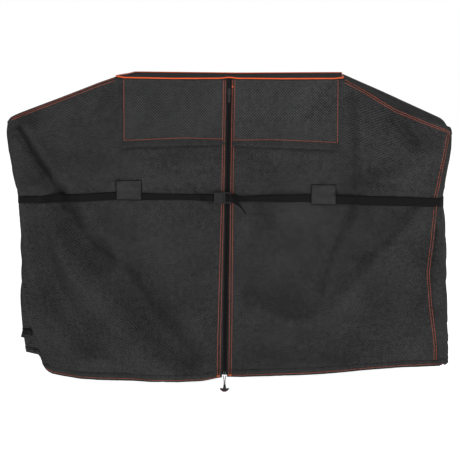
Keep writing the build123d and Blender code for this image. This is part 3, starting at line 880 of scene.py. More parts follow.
# %% Windows behind the flaps
for side in ("left", "right"):
    low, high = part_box(side + "_vent_mesh")
    opened = bmesh.new()
    opened.from_mesh(panels[side + "_front"].data)
    for place, way in ((low, (1, 0, 0)), (high, (1, 0, 0)), (low, (0, 0, 1)), (high, (0, 0, 1))):
        everything = opened.verts[:] + opened.edges[:] + opened.faces[:]
        bmesh.ops.bisect_plane(opened, geom=everything, dist=1e-6, plane_co=place, plane_no=way)
    inside = []
    for face in opened.faces:
        middle = face.calc_center_median()
        if middle.y < 0 and low.x < middle.x < high.x and low.z < middle.z < high.z:
            inside.append(face)
    bmesh.ops.delete(opened, geom=inside, context="FACES")
    opened.to_mesh(panels[side + "_front"].data)
    opened.free()
    print(side, "window", len(inside), "faces removed")

skin_tree = BVHTree.FromBMesh(bm)
for name, cut in panel_cuts.items():
    area = sum(polygon.area for polygon in panels[name].data.polygons)
    share = min(1.0, area / (cut[0] * cut[1]))
    held = "stretched" if name == "top" else "hung"

# %% [markdown]
# ## Finding the cloth again
# Everything sewn to the skin has to lie on it. A ray from in front, from the side or from above finds the
# cloth and the way it faces there.


# %% Rays on to the skin
def on_skin(origin, direction):
    place, normal, index, distance = skin_tree.ray_cast(Vector(origin), Vector(direction), 4.0)
    if place is None:
        return None
    normal = normal if normal.dot(Vector(direction)) < 0 else -normal
    return place, normal


def front_at(x, z):
    return on_skin((x, front_y - 1.0, z), (0, 1, 0))


print("front at the belt stands at", round(front_at(-0.3, belt_z)[0].y, 4))

# %% [markdown]
# ## Stitches
# A seam here is a row of separate stitches in orange thread, about six millimetres long. Each is a small
# flattened bead of few faces, laid along the seam and half sunk in the cloth. A row is given as points on
# the cloth, and stitches are set at an even pitch along it.


# %% Sewing
def along(points, pitch):
    """Places at an even pitch along a line of points, with the direction there."""
    places = []
    carried = pitch / 2
    for first, second in zip(points, points[1:]):
        run = second - first
        length = run.length
        if length < 1e-9:
            continue
        while carried <= length:
            places.append((first + run * (carried / length), run / length))
            carried += pitch
        carried -= length
    return places


def sew(name, rows, body="cover", pitch=0.0062, length=0.0055, width=0.0015, thread=None, node=None):
    """rows is a list of lists of (place, normal) on the cloth."""
    sewn = bmesh.new()
    count = 0
    for row in rows:
        places = [place for place, _ in row]
        normals = [normal for _, normal in row]
        marks = np.cumsum([0] + [(b - a).length for a, b in zip(places, places[1:])])
        for index, (place, forward) in enumerate(along(places, pitch)):
            travelled = pitch / 2 + index * pitch
            nearest = int(np.clip(np.searchsorted(marks, travelled), 1, len(normals) - 1))
            up = normals[nearest - 1].lerp(normals[nearest], 0.5).normalized()
            sideways = up.cross(forward).normalized()
            turn = Matrix((forward, sideways, up)).transposed().to_4x4()
            shape = Matrix.Diagonal((length / 2, width / 2, width / 2, 1))
            lay = Matrix.Translation(place + up * 0.0003) @ turn @ shape
            bmesh.ops.create_uvsphere(sewn, u_segments=5, v_segments=4, radius=1.0, matrix=lay)
            count += 1
    mesh = mesh_of(sewn, name, smooth=True)
    print(name, count, "stitches")
    return hang(name, mesh, body, thread or thread_orange)


def front_row(points, lift=0.0, step=0.02):
    """A row on the front through points in x and z."""
    row = []
    for (x0, z0), (x1, z1) in zip(points, points[1:]):
        count = max(1, int(math.hypot(x1 - x0, z1 - z0) / step))
        for index in range(count + (1 if (x1, z1) == points[-1] else 0)):
            share = index / count
            found = front_at(x0 + (x1 - x0) * share, z0 + (z1 - z0) * share)
            if found:
                row.append((found[0] + found[1] * lift, found[1]))
    return row


# %% Shoulder and side seams
slope_rows = []
for side in (-1, 1):
    for inset, tip_inset in ((0.004, 0.005), (0.0140, 0.0115)):
        places = []
        for a in np.linspace(0.432, 0.824, 24):
            drop = inset + (tip_inset - inset) * (a - 0.432) / 0.392
            places.append((side * a, float(roof(side * a)) - drop))
        slope_rows.append(front_row(places))
sew("shoulder_stitching", slope_rows)

seam_heights = np.linspace(-0.205, -1.085, 50)
right_rows = []
for inset in (-0.004, -0.0125):
    right_rows.append(front_row([(float(right_seam(h)) + inset, h) for h in seam_heights]))
sew("right_seam_stitching", right_rows)

back_rows = []
for side in (-1, 1):
    behind = half_depth + 1.0
    seam = [((side * 0.795, behind, h), (0, -1, 0)) for h in np.linspace(-0.20, -1.09, 40)]
    slope = [
        ((side * a, behind, float(roof(side * a, 1.0)) - 0.010), (0, -1, 0))
        for a in np.linspace(0.435, 0.815, 20)
    ]
    depth_line = np.linspace(-half_depth + 0.02, half_depth - 0.02, 30)
    shoulder = [((side * 1.6, b, -0.205), (-side, 0, 0)) for b in depth_line]
    for rays in (seam, slope, shoulder):
        found = [on_skin(start, way) for start, way in rays]
        back_rows.append([each for each in found if each])
sew("back_and_side_stitching", back_rows)

# %% [markdown]
# ## Hem
# The bottom edge is turned up and sewn into a channel for the drawcord, so it is a second layer that
# stands a little proud of the skin. Each band follows the bottom cells of its panel, pushed outwards, with
# a row of stitches close to the lower edge. On the real cover the channel's top edge is sewn in black,
# which hardly shows; that row is not made here.


# %% Hem bands
def band_of(panel, proud=0.0014):
    """The lowest row of a panel's cells, lifted off the skin as a second layer."""
    part = bm.copy()
    layer = part.faces.layers.int["panel"]
    wanted = panel_names.index(panel)
    limit = -1 + 2 * 1.5 / tall_cells
    unwanted = []
    for face in part.faces:
        middle = np.mean([grid[vert.index][2] for vert in face.verts])
        if face[layer] != wanted or middle > limit:
            unwanted.append(face)
    bmesh.ops.delete(part, geom=unwanted, context="FACES")
    part.normal_update()
    for vert in part.verts:
        vert.co += vert.normal * proud
        vert.co.z -= 0.0006
    name = panel + "_hem_cloth"
    mesh = mesh_of(part, name)
    piece = hang(name, mesh, "cover", cover_cloth)
    thicken(piece, 0.0022)
    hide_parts(panel + "_hem")


hem_lengths = {"left_front": 0.80, "right_front": 0.81, "back": 1.66, "left_side": 0.62, "right_side": 0.64}
for panel, length in hem_lengths.items():
    band_of(panel)

hem_rows = []
for start, end in ((-0.705, -0.0335), (0.0, 0.81)):
    row = front_row([(a, float(front_hem(a)) + 0.007) for a in np.linspace(start, end, 60)])
    hem_rows.append([(place + normal * 0.0015, normal) for place, normal in row])
sew("hem_stitching", hem_rows, pitch=0.0058, length=0.0050, width=0.0016)

# %% [markdown]
# ## Bar tacks
# Where a seam takes a pull it is sewn over and over in one place. On this cover a tack holds the cloth at
# both sides of the zip at the hem, and another one lies across the zip above its slider.


# %% Bar tacks
def bar_tack(name, x, z, long, tall, turns, lift=0.0006, upright=True):
    sewn = bmesh.new()
    found = front_at(x, z)
    place, normal = found
    for index in range(turns):
        share = (index + 0.5) / turns - 0.5
        shift = Vector((0, 0, share * tall)) if upright else Vector((share * long, 0, 0))
        size = (long / 2, 0.0007, tall / turns * 0.7) if upright else (long / turns * 0.7, 0.0007, tall / 2)
        lay = Matrix.Translation(place + shift + normal * lift) @ Matrix.Diagonal((*size, 1))
        bmesh.ops.create_uvsphere(sewn, u_segments=8, v_segments=5, radius=1.0, matrix=lay)
    mesh = mesh_of(sewn, name, smooth=True)
    return hang(name, mesh, "cover", thread_orange)


foot_z = float(front_hem(-0.02))
foot_x = zip_line(foot_z)
bar_tack("left_hem_tack", foot_x - 0.023, foot_z + 0.007, 0.013, 0.0045, 4, 0.0030)
bar_tack("right_hem_tack", foot_x + 0.021, foot_z + 0.011, 0.013, 0.0045, 4, 0.0030)
bar_tack("zip_tack", zip_line(-0.031) + 0.0135, -0.030, 0.008, 0.005, 4, 0.0008)
print("three bar tacks")

# %% [markdown]
# ## Piping round the top
# A cord wrapped in bright orange cloth is sewn into the seam of the top panel. It follows the roof line
# along the front and the back, rises into a small ear at each corner, and is nipped up where the two
# halves of the front meet over the zip.

# %% Piping
piping_radius = 0.0024


def top_outline(steps=60):
    """Places round the top panel's edge, a little above and outside the skin."""
    inset = 0.010
    points = []
    for share in np.linspace(-1, 1, steps):
        a = share * (half_top + 0.001)
        points.append(Vector((a, -half_depth - 0.0012, float(roof(a)) + 0.0015)))
    for share in np.linspace(-1, 1, 30)[1:-1]:
        edge_z = float(roof(half_top, ease((share + 1) / 2, 0.0, 0.8)))
        points.append(Vector((half_top + 0.0012, share * half_depth, edge_z + 0.0018)))
    for share in np.linspace(1, -1, steps):
        a = share * (half_top + 0.001)
        points.append(Vector((a, half_depth + 0.0012, float(roof(a, 1.0)) + 0.0015)))
    for share in np.linspace(1, -1, 30)[1:-1]:
        edge_z = float(roof(-half_top, ease((share + 1) / 2, 0.0, 0.8)))
        points.append(Vector((-half_top - 0.0012, share * half_depth, edge_z + 0.0018)))
    return points


def round_tube(name, points, radius, closed=True, sides=12):
    """A grid rolled up: each of its rows becomes a ring set square to the line of points."""
    tube = bmesh.new()
    count = len(points)
    steps = count if closed else count - 1
    bmesh.ops.create_grid(tube, x_segments=sides, y_segments=steps, size=1.0)
    for vert in tube.verts:
        turn = (vert.co.x + 1) * math.pi
        index = round((vert.co.y + 1) / 2 * steps) % count
        before = points[index - 1] if closed or index else points[0]
        after = points[(index + 1) % count] if closed or index < count - 1 else points[-1]
        forward = (after - before).normalized()
        up = Vector((0, 0, 1)) if abs(forward.z) < 0.9 else Vector((0, 1, 0))
        sideways = forward.cross(up).normalized()
        up = sideways.cross(forward)
        thick = radius(index) if callable(radius) else radius
        vert.co = points[index] + (sideways * math.cos(turn) + up * math.sin(turn)) * thick
    bmesh.ops.remove_doubles(tube, verts=tube.verts, dist=0.00001)
    if not closed:
        bmesh.ops.holes_fill(tube, edges=[edge for edge in tube.edges if edge.is_boundary], sides=0)
    for face in tube.faces:
        face.smooth = True
    bmesh.ops.recalc_face_normals(tube, faces=tube.faces)
    mesh = mesh_of(tube, name)
    return mesh


piping_points = top_outline()
uneven = [piping_radius * (1 + 0.06 * noise.noise(point * 40.0)) for point in piping_points]
piping_mesh = round_tube("piping", piping_points, lambda index: uneven[index])
piping = hang("piping", piping_mesh, "cover", piping_orange)
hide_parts("top_piping")
print("piping", len(piping_mesh.polygons), "faces")

# %% [markdown]
# ## Vent flaps
# Each flap is a rectangle of the same cloth, sewn down along the top and both sides, with a row of
# stitches across it near the bottom. The part below that row is loose and stands off a little, so it casts
# a soft shadow, and the pull of the rows puckers the cloth. It is a grid of cells bent by code.

# %% Flap shapes
flap_outlines = {
    "left": ((-0.401, -0.0165), [(-0.401, -0.258), (-0.32, -0.254), (-0.16, -0.250), (-0.017, -0.246)]),
    "right": ((0.0165, 0.411), [(0.017, -0.250), (0.16, -0.254), (0.30, -0.259), (0.411, -0.263)]),
}
flap_rows = {
    "left": [(-0.398, -0.233), (-0.167, -0.223), (-0.021, -0.227)],
    "right": [(0.019, -0.230), (0.17, -0.228), (0.405, -0.237)],
}
flap_folds = {
    "left": [
        ([(-0.375, -0.03), (-0.26, -0.185)], 0.018, 0.005),
        ([(-0.06, -0.05), (-0.11, -0.18)], 0.02, 0.003),
    ],
    "right": [
        ([(0.385, -0.035), (0.29, -0.17)], 0.018, 0.005),
        ([(0.07, -0.05), (0.12, -0.19)], 0.022, 0.003),
    ],
}
loose_edge = {"left": (0.017, 0.014), "right": (0.014, 0.018)}


def make_flap(side):
    (x_low, x_high), bottom_line = flap_outlines[side]
    across, down = 64, 52
    cloth = bmesh.new()
    bmesh.ops.create_grid(cloth, x_segments=across, y_segments=down, size=1.0)
    weave = cloth.loops.layers.uv.new("weave")
    points = np.array([vert.co[:] for vert in cloth.verts])
    share_x = (points[:, 0] + 1) / 2
    share_z = (1 - points[:, 1]) / 2
    x = x_low + (x_high - x_low) * share_x
    bottom_z = line(x, *bottom_line)
    row_z = line(x, *flap_rows[side])
    top_z = np.array([float(roof(a)) for a in x]) - 0.003
    z = top_z + (bottom_z - top_z) * share_z
    stitched = ease(z - row_z, -0.004, 0.0)
    puff = 0.0045 * np.sin(np.pi * np.clip(share_x, 0, 1)) ** 0.5
    puff = puff * np.clip(np.sin(np.pi * np.clip((top_z - z) / (top_z - row_z), 0, 1)), 0, 1) ** 0.6
    puff += 0.0020 * swell(x, z, 0.06, 41.0) * puff / 0.0045 + 0.0012 * swell(x, z, 0.03, 44.0) * stitched
    for line_points, width, depth in flap_folds[side]:
        near = distance_to(line_points, x, z)
        ridge = depth * 0.8 * np.exp(-((near / width) ** 2))
        furrow = depth * 0.5 * np.exp(-(((near - 0.032) / 0.02) ** 2))
        puff += ridge - furrow
    puff = np.maximum(puff, 0.0)
    below = np.clip((row_z - z) / np.maximum(row_z - bottom_z, 1e-6), 0, 1)
    left_loose, right_loose = loose_edge[side]
    loose = left_loose + (right_loose - left_loose) * share_x
    loose = loose + 0.0025 * np.sin(x * 2 * math.pi / 0.13 + 1.0)
    out = 0.0018 + puff * (below <= 0) + loose * below ** 0.8
    for vert, a, b, c in zip(cloth.verts, x, z, out):
        found = front_at(a, max(b, -1.0))
        base_y = found[0].y if found else front_y
        vert.co = (a, min(base_y, front_y + 0.004) - c, b)
    for face in cloth.faces:
        face.smooth = True
        for loop in face.loops:
            loop[weave].uv = (loop.vert.co.x, loop.vert.co.z)
    bmesh.ops.recalc_face_normals(cloth, faces=cloth.faces)
    if sum(face.normal.y for face in cloth.faces) > 0:
        bmesh.ops.reverse_faces(cloth, faces=cloth.faces)
    tree = BVHTree.FromBMesh(cloth)
    mesh = mesh_of(cloth, side + "_flap_cloth")
    piece = hang(side + "_flap_cloth", mesh, "cover", flap_cloth)
    thicken(piece, second_layer)
    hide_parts(side + "_vent_flap")
    return piece, tree


def tree_row(tree, points, step=0.02, lift=0.0):
    row = []
    for (x0, z0), (x1, z1) in zip(points, points[1:]):
        count = max(1, int(math.hypot(x1 - x0, z1 - z0) / step))
        for index in range(count + 1):
            share = index / count
            origin = Vector((x0 + (x1 - x0) * share, front_y - 1, z0 + (z1 - z0) * share))
            place, normal, _, _ = tree.ray_cast(origin, Vector((0, 1, 0)), 3.0)
            if place is not None:
                normal = normal if normal.y < 0 else -normal
                row.append((place + normal * lift, normal))
    return row


flap_trees = {}
for side in ("left", "right"):
    piece, flap_trees[side] = make_flap(side)
    (x_low, x_high), _ = flap_outlines[side]
    outer_x = x_low + 0.004 if side == "left" else x_high - 0.004
    outer_foot = flap_rows[side][0 if side == "left" else -1][1]
    rows = [
        tree_row(flap_trees[side], [(outer_x, -0.004), (outer_x, outer_foot)]),
        tree_row(flap_trees[side], flap_rows[side]),
    ]
    sew(side + "_flap_stitching", rows)
print("flaps ready")


# %% Zip rows over the skin and the flaps
def front_or_flap(points):
    row = []
    for a, b in points:
        found = front_at(a, b)
        for tree in flap_trees.values():
            place, normal, _, _ = tree.ray_cast(Vector((a, front_y - 1, b)), Vector((0, 1, 0)), 3.0)
            if place is not None and (found is None or place.y < found[0].y):
                found = (place, normal if normal.y < 0 else -normal)
        if found:
            row.append(found)
    return row


zip_rows = []
over_hem = 0.0036
band_high = 0.036
row_insets = {-1: ((0.0138, 0.0175), (0.0214, 0.0285)), 1: ((0.0118, 0.0166), (0.0208, 0.0260))}
for side in (-1, 1):
    for top_inset, foot_inset in row_insets[side]:
        points = []
        foot = float(front_hem(side * 0.02))
        for h in np.linspace(-0.006, foot + 0.004, 70):
            inset = top_inset + (foot_inset - top_inset) * ease(-h, 0.3, 1.15)
            points.append((zip_line(h) + side * inset, h))
        row = front_or_flap(points)
        row = [(spot + way * (over_hem if spot.z < foot + band_high else 0.0), way) for spot, way in row]
        zip_rows.append(row)
sew("zip_stitching", zip_rows)

# %% [markdown]
# ## Ribbons of webbing
# The belt and the straps are flat woven polypropylene. A ribbon is made from stations along it: each has a
# place on both of its edges, and a grid of cells is laid between them from station to station.
# Where it lies on the cover, rays find the cloth, and the ribbon is smoothed along its length because
# webbing is stiffer than the cloth and bridges the small hollows. A ribbon that is pulled along by a plug
# is hung on no body.


# %% Ribbon maker
def ribbon(name, edges, thickness, body, node=None, material=None, rows=5):
    """edges is a list of (first edge, second edge) places."""
    strip = bmesh.new()
    weave = strip.loops.layers.uv.new("weave")
    width = (edges[0][0] - edges[0][1]).length
    travelled = [0.0]
    for (a, b), (c, d) in zip(edges, edges[1:]):
        travelled.append(travelled[-1] + ((c + d) / 2 - (a + b) / 2).length)
    steps = len(edges) - 1
    bmesh.ops.create_grid(strip, x_segments=rows, y_segments=steps, size=1.0)
    for face in strip.faces:
        face.smooth = True
        for loop in face.loops:
            station = round((loop.vert.co.y + 1) / 2 * steps)
            loop[weave].uv = (width * (loop.vert.co.x + 1) / 2, travelled[station])
    for vert in strip.verts:
        first, second = edges[round((vert.co.y + 1) / 2 * steps)]
        vert.co = first.lerp(second, (vert.co.x + 1) / 2)
    mesh = mesh_of(strip, name)
    piece = hang(name, mesh, body, material or webbing_black)
    thicken(piece, thickness, 0.0)
    if node:
        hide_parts(node)
    print(name, "length", round(travelled[-1], 3))
    return piece, travelled[-1]


def smoothed(values, reach=2, rounds=2):
    values = np.array(values, float)
    for _ in range(rounds):
        padded = np.concatenate([[values[0]] * reach, values, [values[-1]] * reach])
        values = np.array([padded[index : index + 2 * reach + 1].mean() for index in range(len(values))])
    return values


def lie_on_skin(rays, lift):
    """rays: list of (origin, direction, upper z, lower z). Gives both edges, lifted and smoothed."""
    places = []
    for origin, direction, high, low in rays:
        nearest = None
        for z_value in (high, (high + low) / 2, low):
            start = Vector((origin[0], origin[1], z_value))
            found = on_skin(start, direction)
            if found and (nearest is None or (found[0] - start).length < nearest[0]):
                nearest = ((found[0] - start).length, found[0])
        places.append(nearest[1])
    even_x, even_y = smoothed([p.x for p in places]), smoothed([p.y for p in places])
    edges = []
    for (origin, direction, high, low), place, a, b in zip(rays, places, even_x, even_y):
        way = Vector(direction)
        sunk = max(0.0, (Vector((a, b, 0)) - Vector((place.x, place.y, 0))).dot(way))
        centre_line = Vector((float(a), float(b), 0)) - way * (sunk + lift)
        upper, lower = (Vector((centre_line.x, centre_line.y, height)) for height in (high, low))
        edges.append((upper, lower))
    return edges


def belt_edges(x):
    """Upper and lower edge of the belt along the front."""
    high = line(
        x, (-0.81, -0.451), (-0.63, -0.4400), (-0.43, -0.4300), (-0.19, -0.4360), (-0.10, -0.4350),
        (-0.06, -0.4345), (0.0, -0.4345), (0.03, -0.441), (0.10, -0.4385), (0.19, -0.435), (0.275, -0.433),
        (0.40, -0.436), (0.81, -0.446),
    )
    low = line(
        x, (-0.81, -0.478), (-0.63, -0.4710), (-0.43, -0.4600), (-0.19, -0.4590), (-0.10, -0.4615),
        (-0.06, -0.4615), (0.0, -0.4615), (0.03, -0.4605), (0.10, -0.4635), (0.19, -0.4645), (0.275, -0.4625),
        (0.40, -0.470), (0.81, -0.480),
    )
    return float(high), float(low)


def belt_rays(side, start, corner_x):
    rays = []
    for a in np.linspace(start, corner_x - 0.045, 60):
        high, low = belt_edges(side * a)
        rays.append(((side * a, front_y - 1.0), (0, 1, 0), high, low))
    pivot = (side * (corner_x - 0.045), -0.24)
    for angle in np.linspace(0, 90, 9)[1:-1]:
        out = Vector((side * math.sin(math.radians(angle)), -math.cos(math.radians(angle)), 0))
        origin = (pivot[0] + out.x * 1.0, pivot[1] + out.y * 1.0)
        rays.append((origin, tuple(-out), high, low))
    end_high, end_low = high, low
    for share in np.linspace(0, 1, 40):
        b = -0.235 + share * 0.535
        high = end_high + (-0.432 - end_high) * share
        low = end_low + (-0.464 - end_low) * share
        rays.append(((side * 1.6, b), (-side, 0, 0), high, low))
    return rays


# %% [markdown]
# ## Belt
# The belt runs round the front at waist height, through two cloth patches that hold it, and is closed by a
# side-release buckle just left of the zip. Its left half ends in a sewn loop round the buckle's bar. Its
# right half is threaded through the ladder bars of the plug, and the loose tail hangs down and has twisted
# so that only its edge shows.

# %% Left half of the belt
bar_y = (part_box("belt_buckle_socket")[0].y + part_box("belt_buckle_socket")[1].y) / 2
socket_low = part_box("belt_buckle_socket")[0]
plug_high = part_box("belt_buckle_plug")[1]
bar_x = socket_low.x + 0.002
high, low = belt_edges(-0.06)


def flat_edges(path, high, low):
    return [(Vector((a, b, high)), Vector((a, b, low))) for a, b in path]


left_belt = list(reversed(lie_on_skin(belt_rays(-1, 0.115, 0.802), 0.0013)))
skin_y = left_belt[-1][0].y
loop = [
    (-0.098, skin_y - 0.0040), (-0.082, bar_y + 0.0048), (bar_x - 0.004, bar_y + 0.0034),
    (bar_x + 0.0015, bar_y + 0.0034), (bar_x + 0.0042, bar_y + 0.0020), (bar_x + 0.0050, bar_y),
    (bar_x + 0.0042, bar_y - 0.0022), (bar_x + 0.0012, bar_y - 0.0036), (bar_x - 0.004, bar_y - 0.0034),
    (-0.078, bar_y - 0.0005), (-0.092, skin_y - 0.0068), (-0.108, skin_y - 0.0030),
]
left_belt += flat_edges(loop, high, low)
ribbon("left_belt_ribbon", left_belt, webbing_thick, "cover", "left_belt_webbing")

# %% Right half of the belt and its tail
right_belt = list(reversed(lie_on_skin(belt_rays(1, 0.075, 0.806), 0.0013)))
skin_y = right_belt[-1][0].y
end_bar = plug_high.x - 0.0025
middle_bar = end_bar - 0.010
high, low = belt_edges(0.0)
right_belt += flat_edges([(0.055, skin_y - 0.002), (0.035, bar_y + 0.0062)], *belt_edges(0.045))
thread_path = [
    (0.020, bar_y + 0.0040), (0.006, bar_y + 0.0036), (middle_bar + 0.002, bar_y + 0.0036),
    (middle_bar - 0.0035, bar_y + 0.0030), (middle_bar - 0.0050, bar_y),
    (middle_bar - 0.0040, bar_y - 0.0028), (middle_bar, bar_y - 0.0031),
    (middle_bar + 0.0036, bar_y - 0.0028), (middle_bar + 0.0042, bar_y - 0.0004),
]
right_belt += flat_edges(thread_path, high + 0.001, low - 0.001)
right_ribbon, _ = ribbon("right_belt_ribbon", right_belt, webbing_thick, None, "right_belt_webbing")
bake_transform(right_ribbon)

tail_line = [
    Vector((end_bar - 0.0044, bar_y - 0.0012, -0.448)), Vector((end_bar - 0.0030, bar_y - 0.0030, -0.448)),
    Vector((end_bar + 0.002, bar_y - 0.0031, -0.4490)), Vector((0.014, -0.3205, -0.4555)),
    Vector((0.026, -0.3245, -0.4635)), Vector((0.037, -0.3285, -0.4725)), Vector((0.048, -0.3310, -0.4830)),
    Vector((0.057, -0.3325, -0.4950)), Vector((0.0635, -0.3330, -0.5075)),
]
tail_turns = [0, 0, 6, 24, 48, 70, 84, 90, 94]
tail_edges = []
for point, turn in zip(tail_line, tail_turns):
    angle = math.radians(turn)
    half = Vector((0.30 * math.sin(angle), -math.sin(angle) * 0.9, math.cos(angle))) * 0.0125
    tail_edges.append((point + half, point - half))
ribbon("belt_tail_ribbon", tail_edges, webbing_thick, "belt_plug", "belt_tail")

# %% [markdown]
# ## Belt patches
# A patch is a rectangle of cover cloth sewn down above and below the belt, open at its sides, so the belt
# can slide through. It bulges over the belt, and its borders are turned in and stitched. A narrow dark
# tube laid round each border is painted shade: it stands for the shadow in the turned-in edge.


# %% Patches
def belt_y(a):
    stations = left_belt[:-12] if a < 0 else right_belt[:-11]
    places = sorted((first.x, first.y) for first, _ in stations if first.y < -0.28)
    return float(np.interp(a, [place[0] for place in places], [place[1] for place in places]))


def frame_of(inset, x_low, x_high, z_low, z_high):
    """The closed outline of an upright rectangle, drawn in by an inset."""
    left, right, foot, top = x_low + inset, x_high - inset, z_low + inset, z_high - inset
    return [(left, foot), (left, top), (right, top), (right, foot), (left, foot)]


def make_patch(side, x_low, x_high, z_low, z_high):
    across, down = 26, 20
    cloth = bmesh.new()
    bmesh.ops.create_grid(cloth, x_segments=across, y_segments=down, size=1.0)
    weave = cloth.loops.layers.uv.new("weave")
    for vert in cloth.verts:
        share_x, share_z = (vert.co.x + 1) / 2, (vert.co.y + 1) / 2
        a = x_low + (x_high - x_low) * share_x + 0.0012 * noise.noise(Vector((share_z * 3, 5, 1)))
        b = z_low + (z_high - z_low) * share_z + 0.0010 * noise.noise(Vector((share_x * 3, 9, 2)))
        high, low = belt_edges(a)
        middle = (high + low) / 2
        over_belt = math.exp(-(((b - middle) / 0.021) ** 4))
        held = min(1.0, min(b - z_low, z_high - b) / 0.006)
        surface = front_at(a, b)[0].y - 0.0012
        over = belt_y(a) - 0.0024
        surface += (min(over, surface) - surface) * max(over_belt, 0.0)
        out = 0.0008 * noise.noise(Vector((a * 30, b * 30, 3))) + 0.0006 * held
        vert.co = (a, surface - out, b)
    for face in cloth.faces:
        face.smooth = True
        for loop in face.loops:
            loop[weave].uv = (loop.vert.co.x, loop.vert.co.z)
    bmesh.ops.smooth_vert(cloth, verts=cloth.verts, factor=0.5, use_axis_y=True)
    if sum(face.normal.y for face in cloth.faces) > 0:
        bmesh.ops.reverse_faces(cloth, faces=cloth.faces)
    tree = BVHTree.FromBMesh(cloth)
    mesh = mesh_of(cloth, side + "_patch_cloth")
    piece = hang(side + "_patch_cloth", mesh, "cover", flap_cloth)
    thicken(piece, second_layer)
    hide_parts(side + "_belt_patch")
    rows = [tree_row(tree, frame_of(0.0045, x_low, x_high, z_low, z_high))]
    sew(side + "_patch_stitching", rows, thread=thread_black, pitch=0.0045, length=0.0034)
    # A narrow dark tube round the patch's border: painted shade for the shadow in the turned-in edge.
    outline = frame_of(0.0012, x_low, x_high, z_low, z_high)
    border = [place for place, _ in tree_row(tree, outline, step=0.004)]
    border = [place for index, place in enumerate(border[:-1]) if (place - border[index - 1]).length > 0.001]
    shade_tube_mesh = round_tube(side + "_patch_shade_tube", border, 0.0015, sides=8)
    hang(side + "_patch_shade_tube", shade_tube_mesh, "cover", webbing_black)


make_patch("left", -0.4315, -0.3320, -0.4610, -0.3840)
make_patch("right", 0.3085, 0.4040, -0.4750, -0.3965)
print("patches ready")

# %% [markdown]
# ## Moulded and metal pieces
# The buckles, the zip's slider and tab and the cord lock come from the CAD model, where they have their
# true shapes. A moulded piece has no sharp edge, so each gets a copy: its mesh is merged, its flat faces
# are joined, and its edges are bevelled. The copy stands for the CAD piece and rides the same body.


# %% Softened copies
def soften(node, width, material, body, segments=2):
    copy = bmesh.new()
    copy.from_mesh(frame["nodes"][node].data)
    bmesh.ops.remove_doubles(copy, verts=copy.verts, dist=1e-6)
    bmesh.ops.recalc_face_normals(copy, faces=copy.faces)
    bmesh.ops.dissolve_limit(copy, angle_limit=math.radians(2), verts=copy.verts, edges=copy.edges)
    sharp = [
        edge for edge in copy.edges
        if len(edge.link_faces) == 2 and edge.calc_face_angle(0) > math.radians(35)
    ]
    bmesh.ops.bevel(
        copy, geom=sharp, offset=width, offset_type="OFFSET", segments=segments, profile=0.5,
        affect="EDGES", material=-1, clamp_overlap=True,
    )
    bmesh.ops.remove_doubles(copy, verts=copy.verts, dist=1e-7)
    bmesh.ops.recalc_face_normals(copy, faces=copy.faces)
    mesh = mesh_of(copy, node + "_finished", smooth=True)
    piece = hang(node + "_finished", mesh, body, material)
    even = piece.modifiers.new("normals", "WEIGHTED_NORMAL")
    even.keep_sharp = False
    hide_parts(node)
    return piece


for place in ("belt", "left_strap", "right_strap"):
    soften(place + "_buckle_socket", 0.0009, nylon_black, "cover")
    for part in ("_plug", "_upper_arm", "_lower_arm"):
        soften(place + "_buckle" + part, 0.0005, nylon_black, place + part)
soften("zip_slider", 0.0005, enamel_black, "slider")
soften("zip_pull_tab", 0.0003, enamel_black, "pull_tab")
soften("zip_box", 0.0004, nylon_black, "cover")
soften("cord_lock_body", 0.0008, nylon_black, "cord_lock")
soften("cord_lock_button", 0.0009, plastic_orange, "lock_button", 3)
print("hardware softened")

# %% [markdown]
# ## Zip
# The zip is a nylon coil: each half is a row of small rounded bars that mesh with the other half. The bars
# lean with the zip line. They start under the slider and run on through the box to the end of the tapes.

# %% Zip coil
teeth_low, teeth_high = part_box("left_zip_teeth")
coil_y = (teeth_low.y + teeth_high.y) / 2
tooth_pitch = 0.0022
for side, name in ((-1, "left"), (1, "right")):
    coil = bmesh.new()
    count = int((teeth_high.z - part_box("left_zip_tape")[0].z - 0.003) / tooth_pitch)
    for index in range(count):
        b = teeth_high.z - 0.0008 - (index + (0.5 if side > 0 else 0.0)) * tooth_pitch
        middle = Vector((zip_line(b) + side * 0.0016, coil_y, b))
        turn = Matrix.Rotation(math.radians(4 * side), 4, "Y")
        size = Matrix.Diagonal((0.0030, 0.0016, 0.00125, 1))
        lay = Matrix.Translation(middle) @ turn @ size
        bmesh.ops.create_uvsphere(coil, u_segments=6, v_segments=4, radius=1.0, matrix=lay)
    mesh = mesh_of(coil, name + "_zip_coil", smooth=True)
    piece = hang(name + "_zip_coil", mesh, "cover", coil_black)
    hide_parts(name + "_zip_teeth")
    print(name, "coil", count, "bars")

# %% [markdown]
# ## Straps low on the sides
# A short strap on each side pulls the skirt in round the grill's legs. It is sewn into the front and back
# seams, lies on the cloth, and closes with a small buckle that stands in the hollow which it pulls.


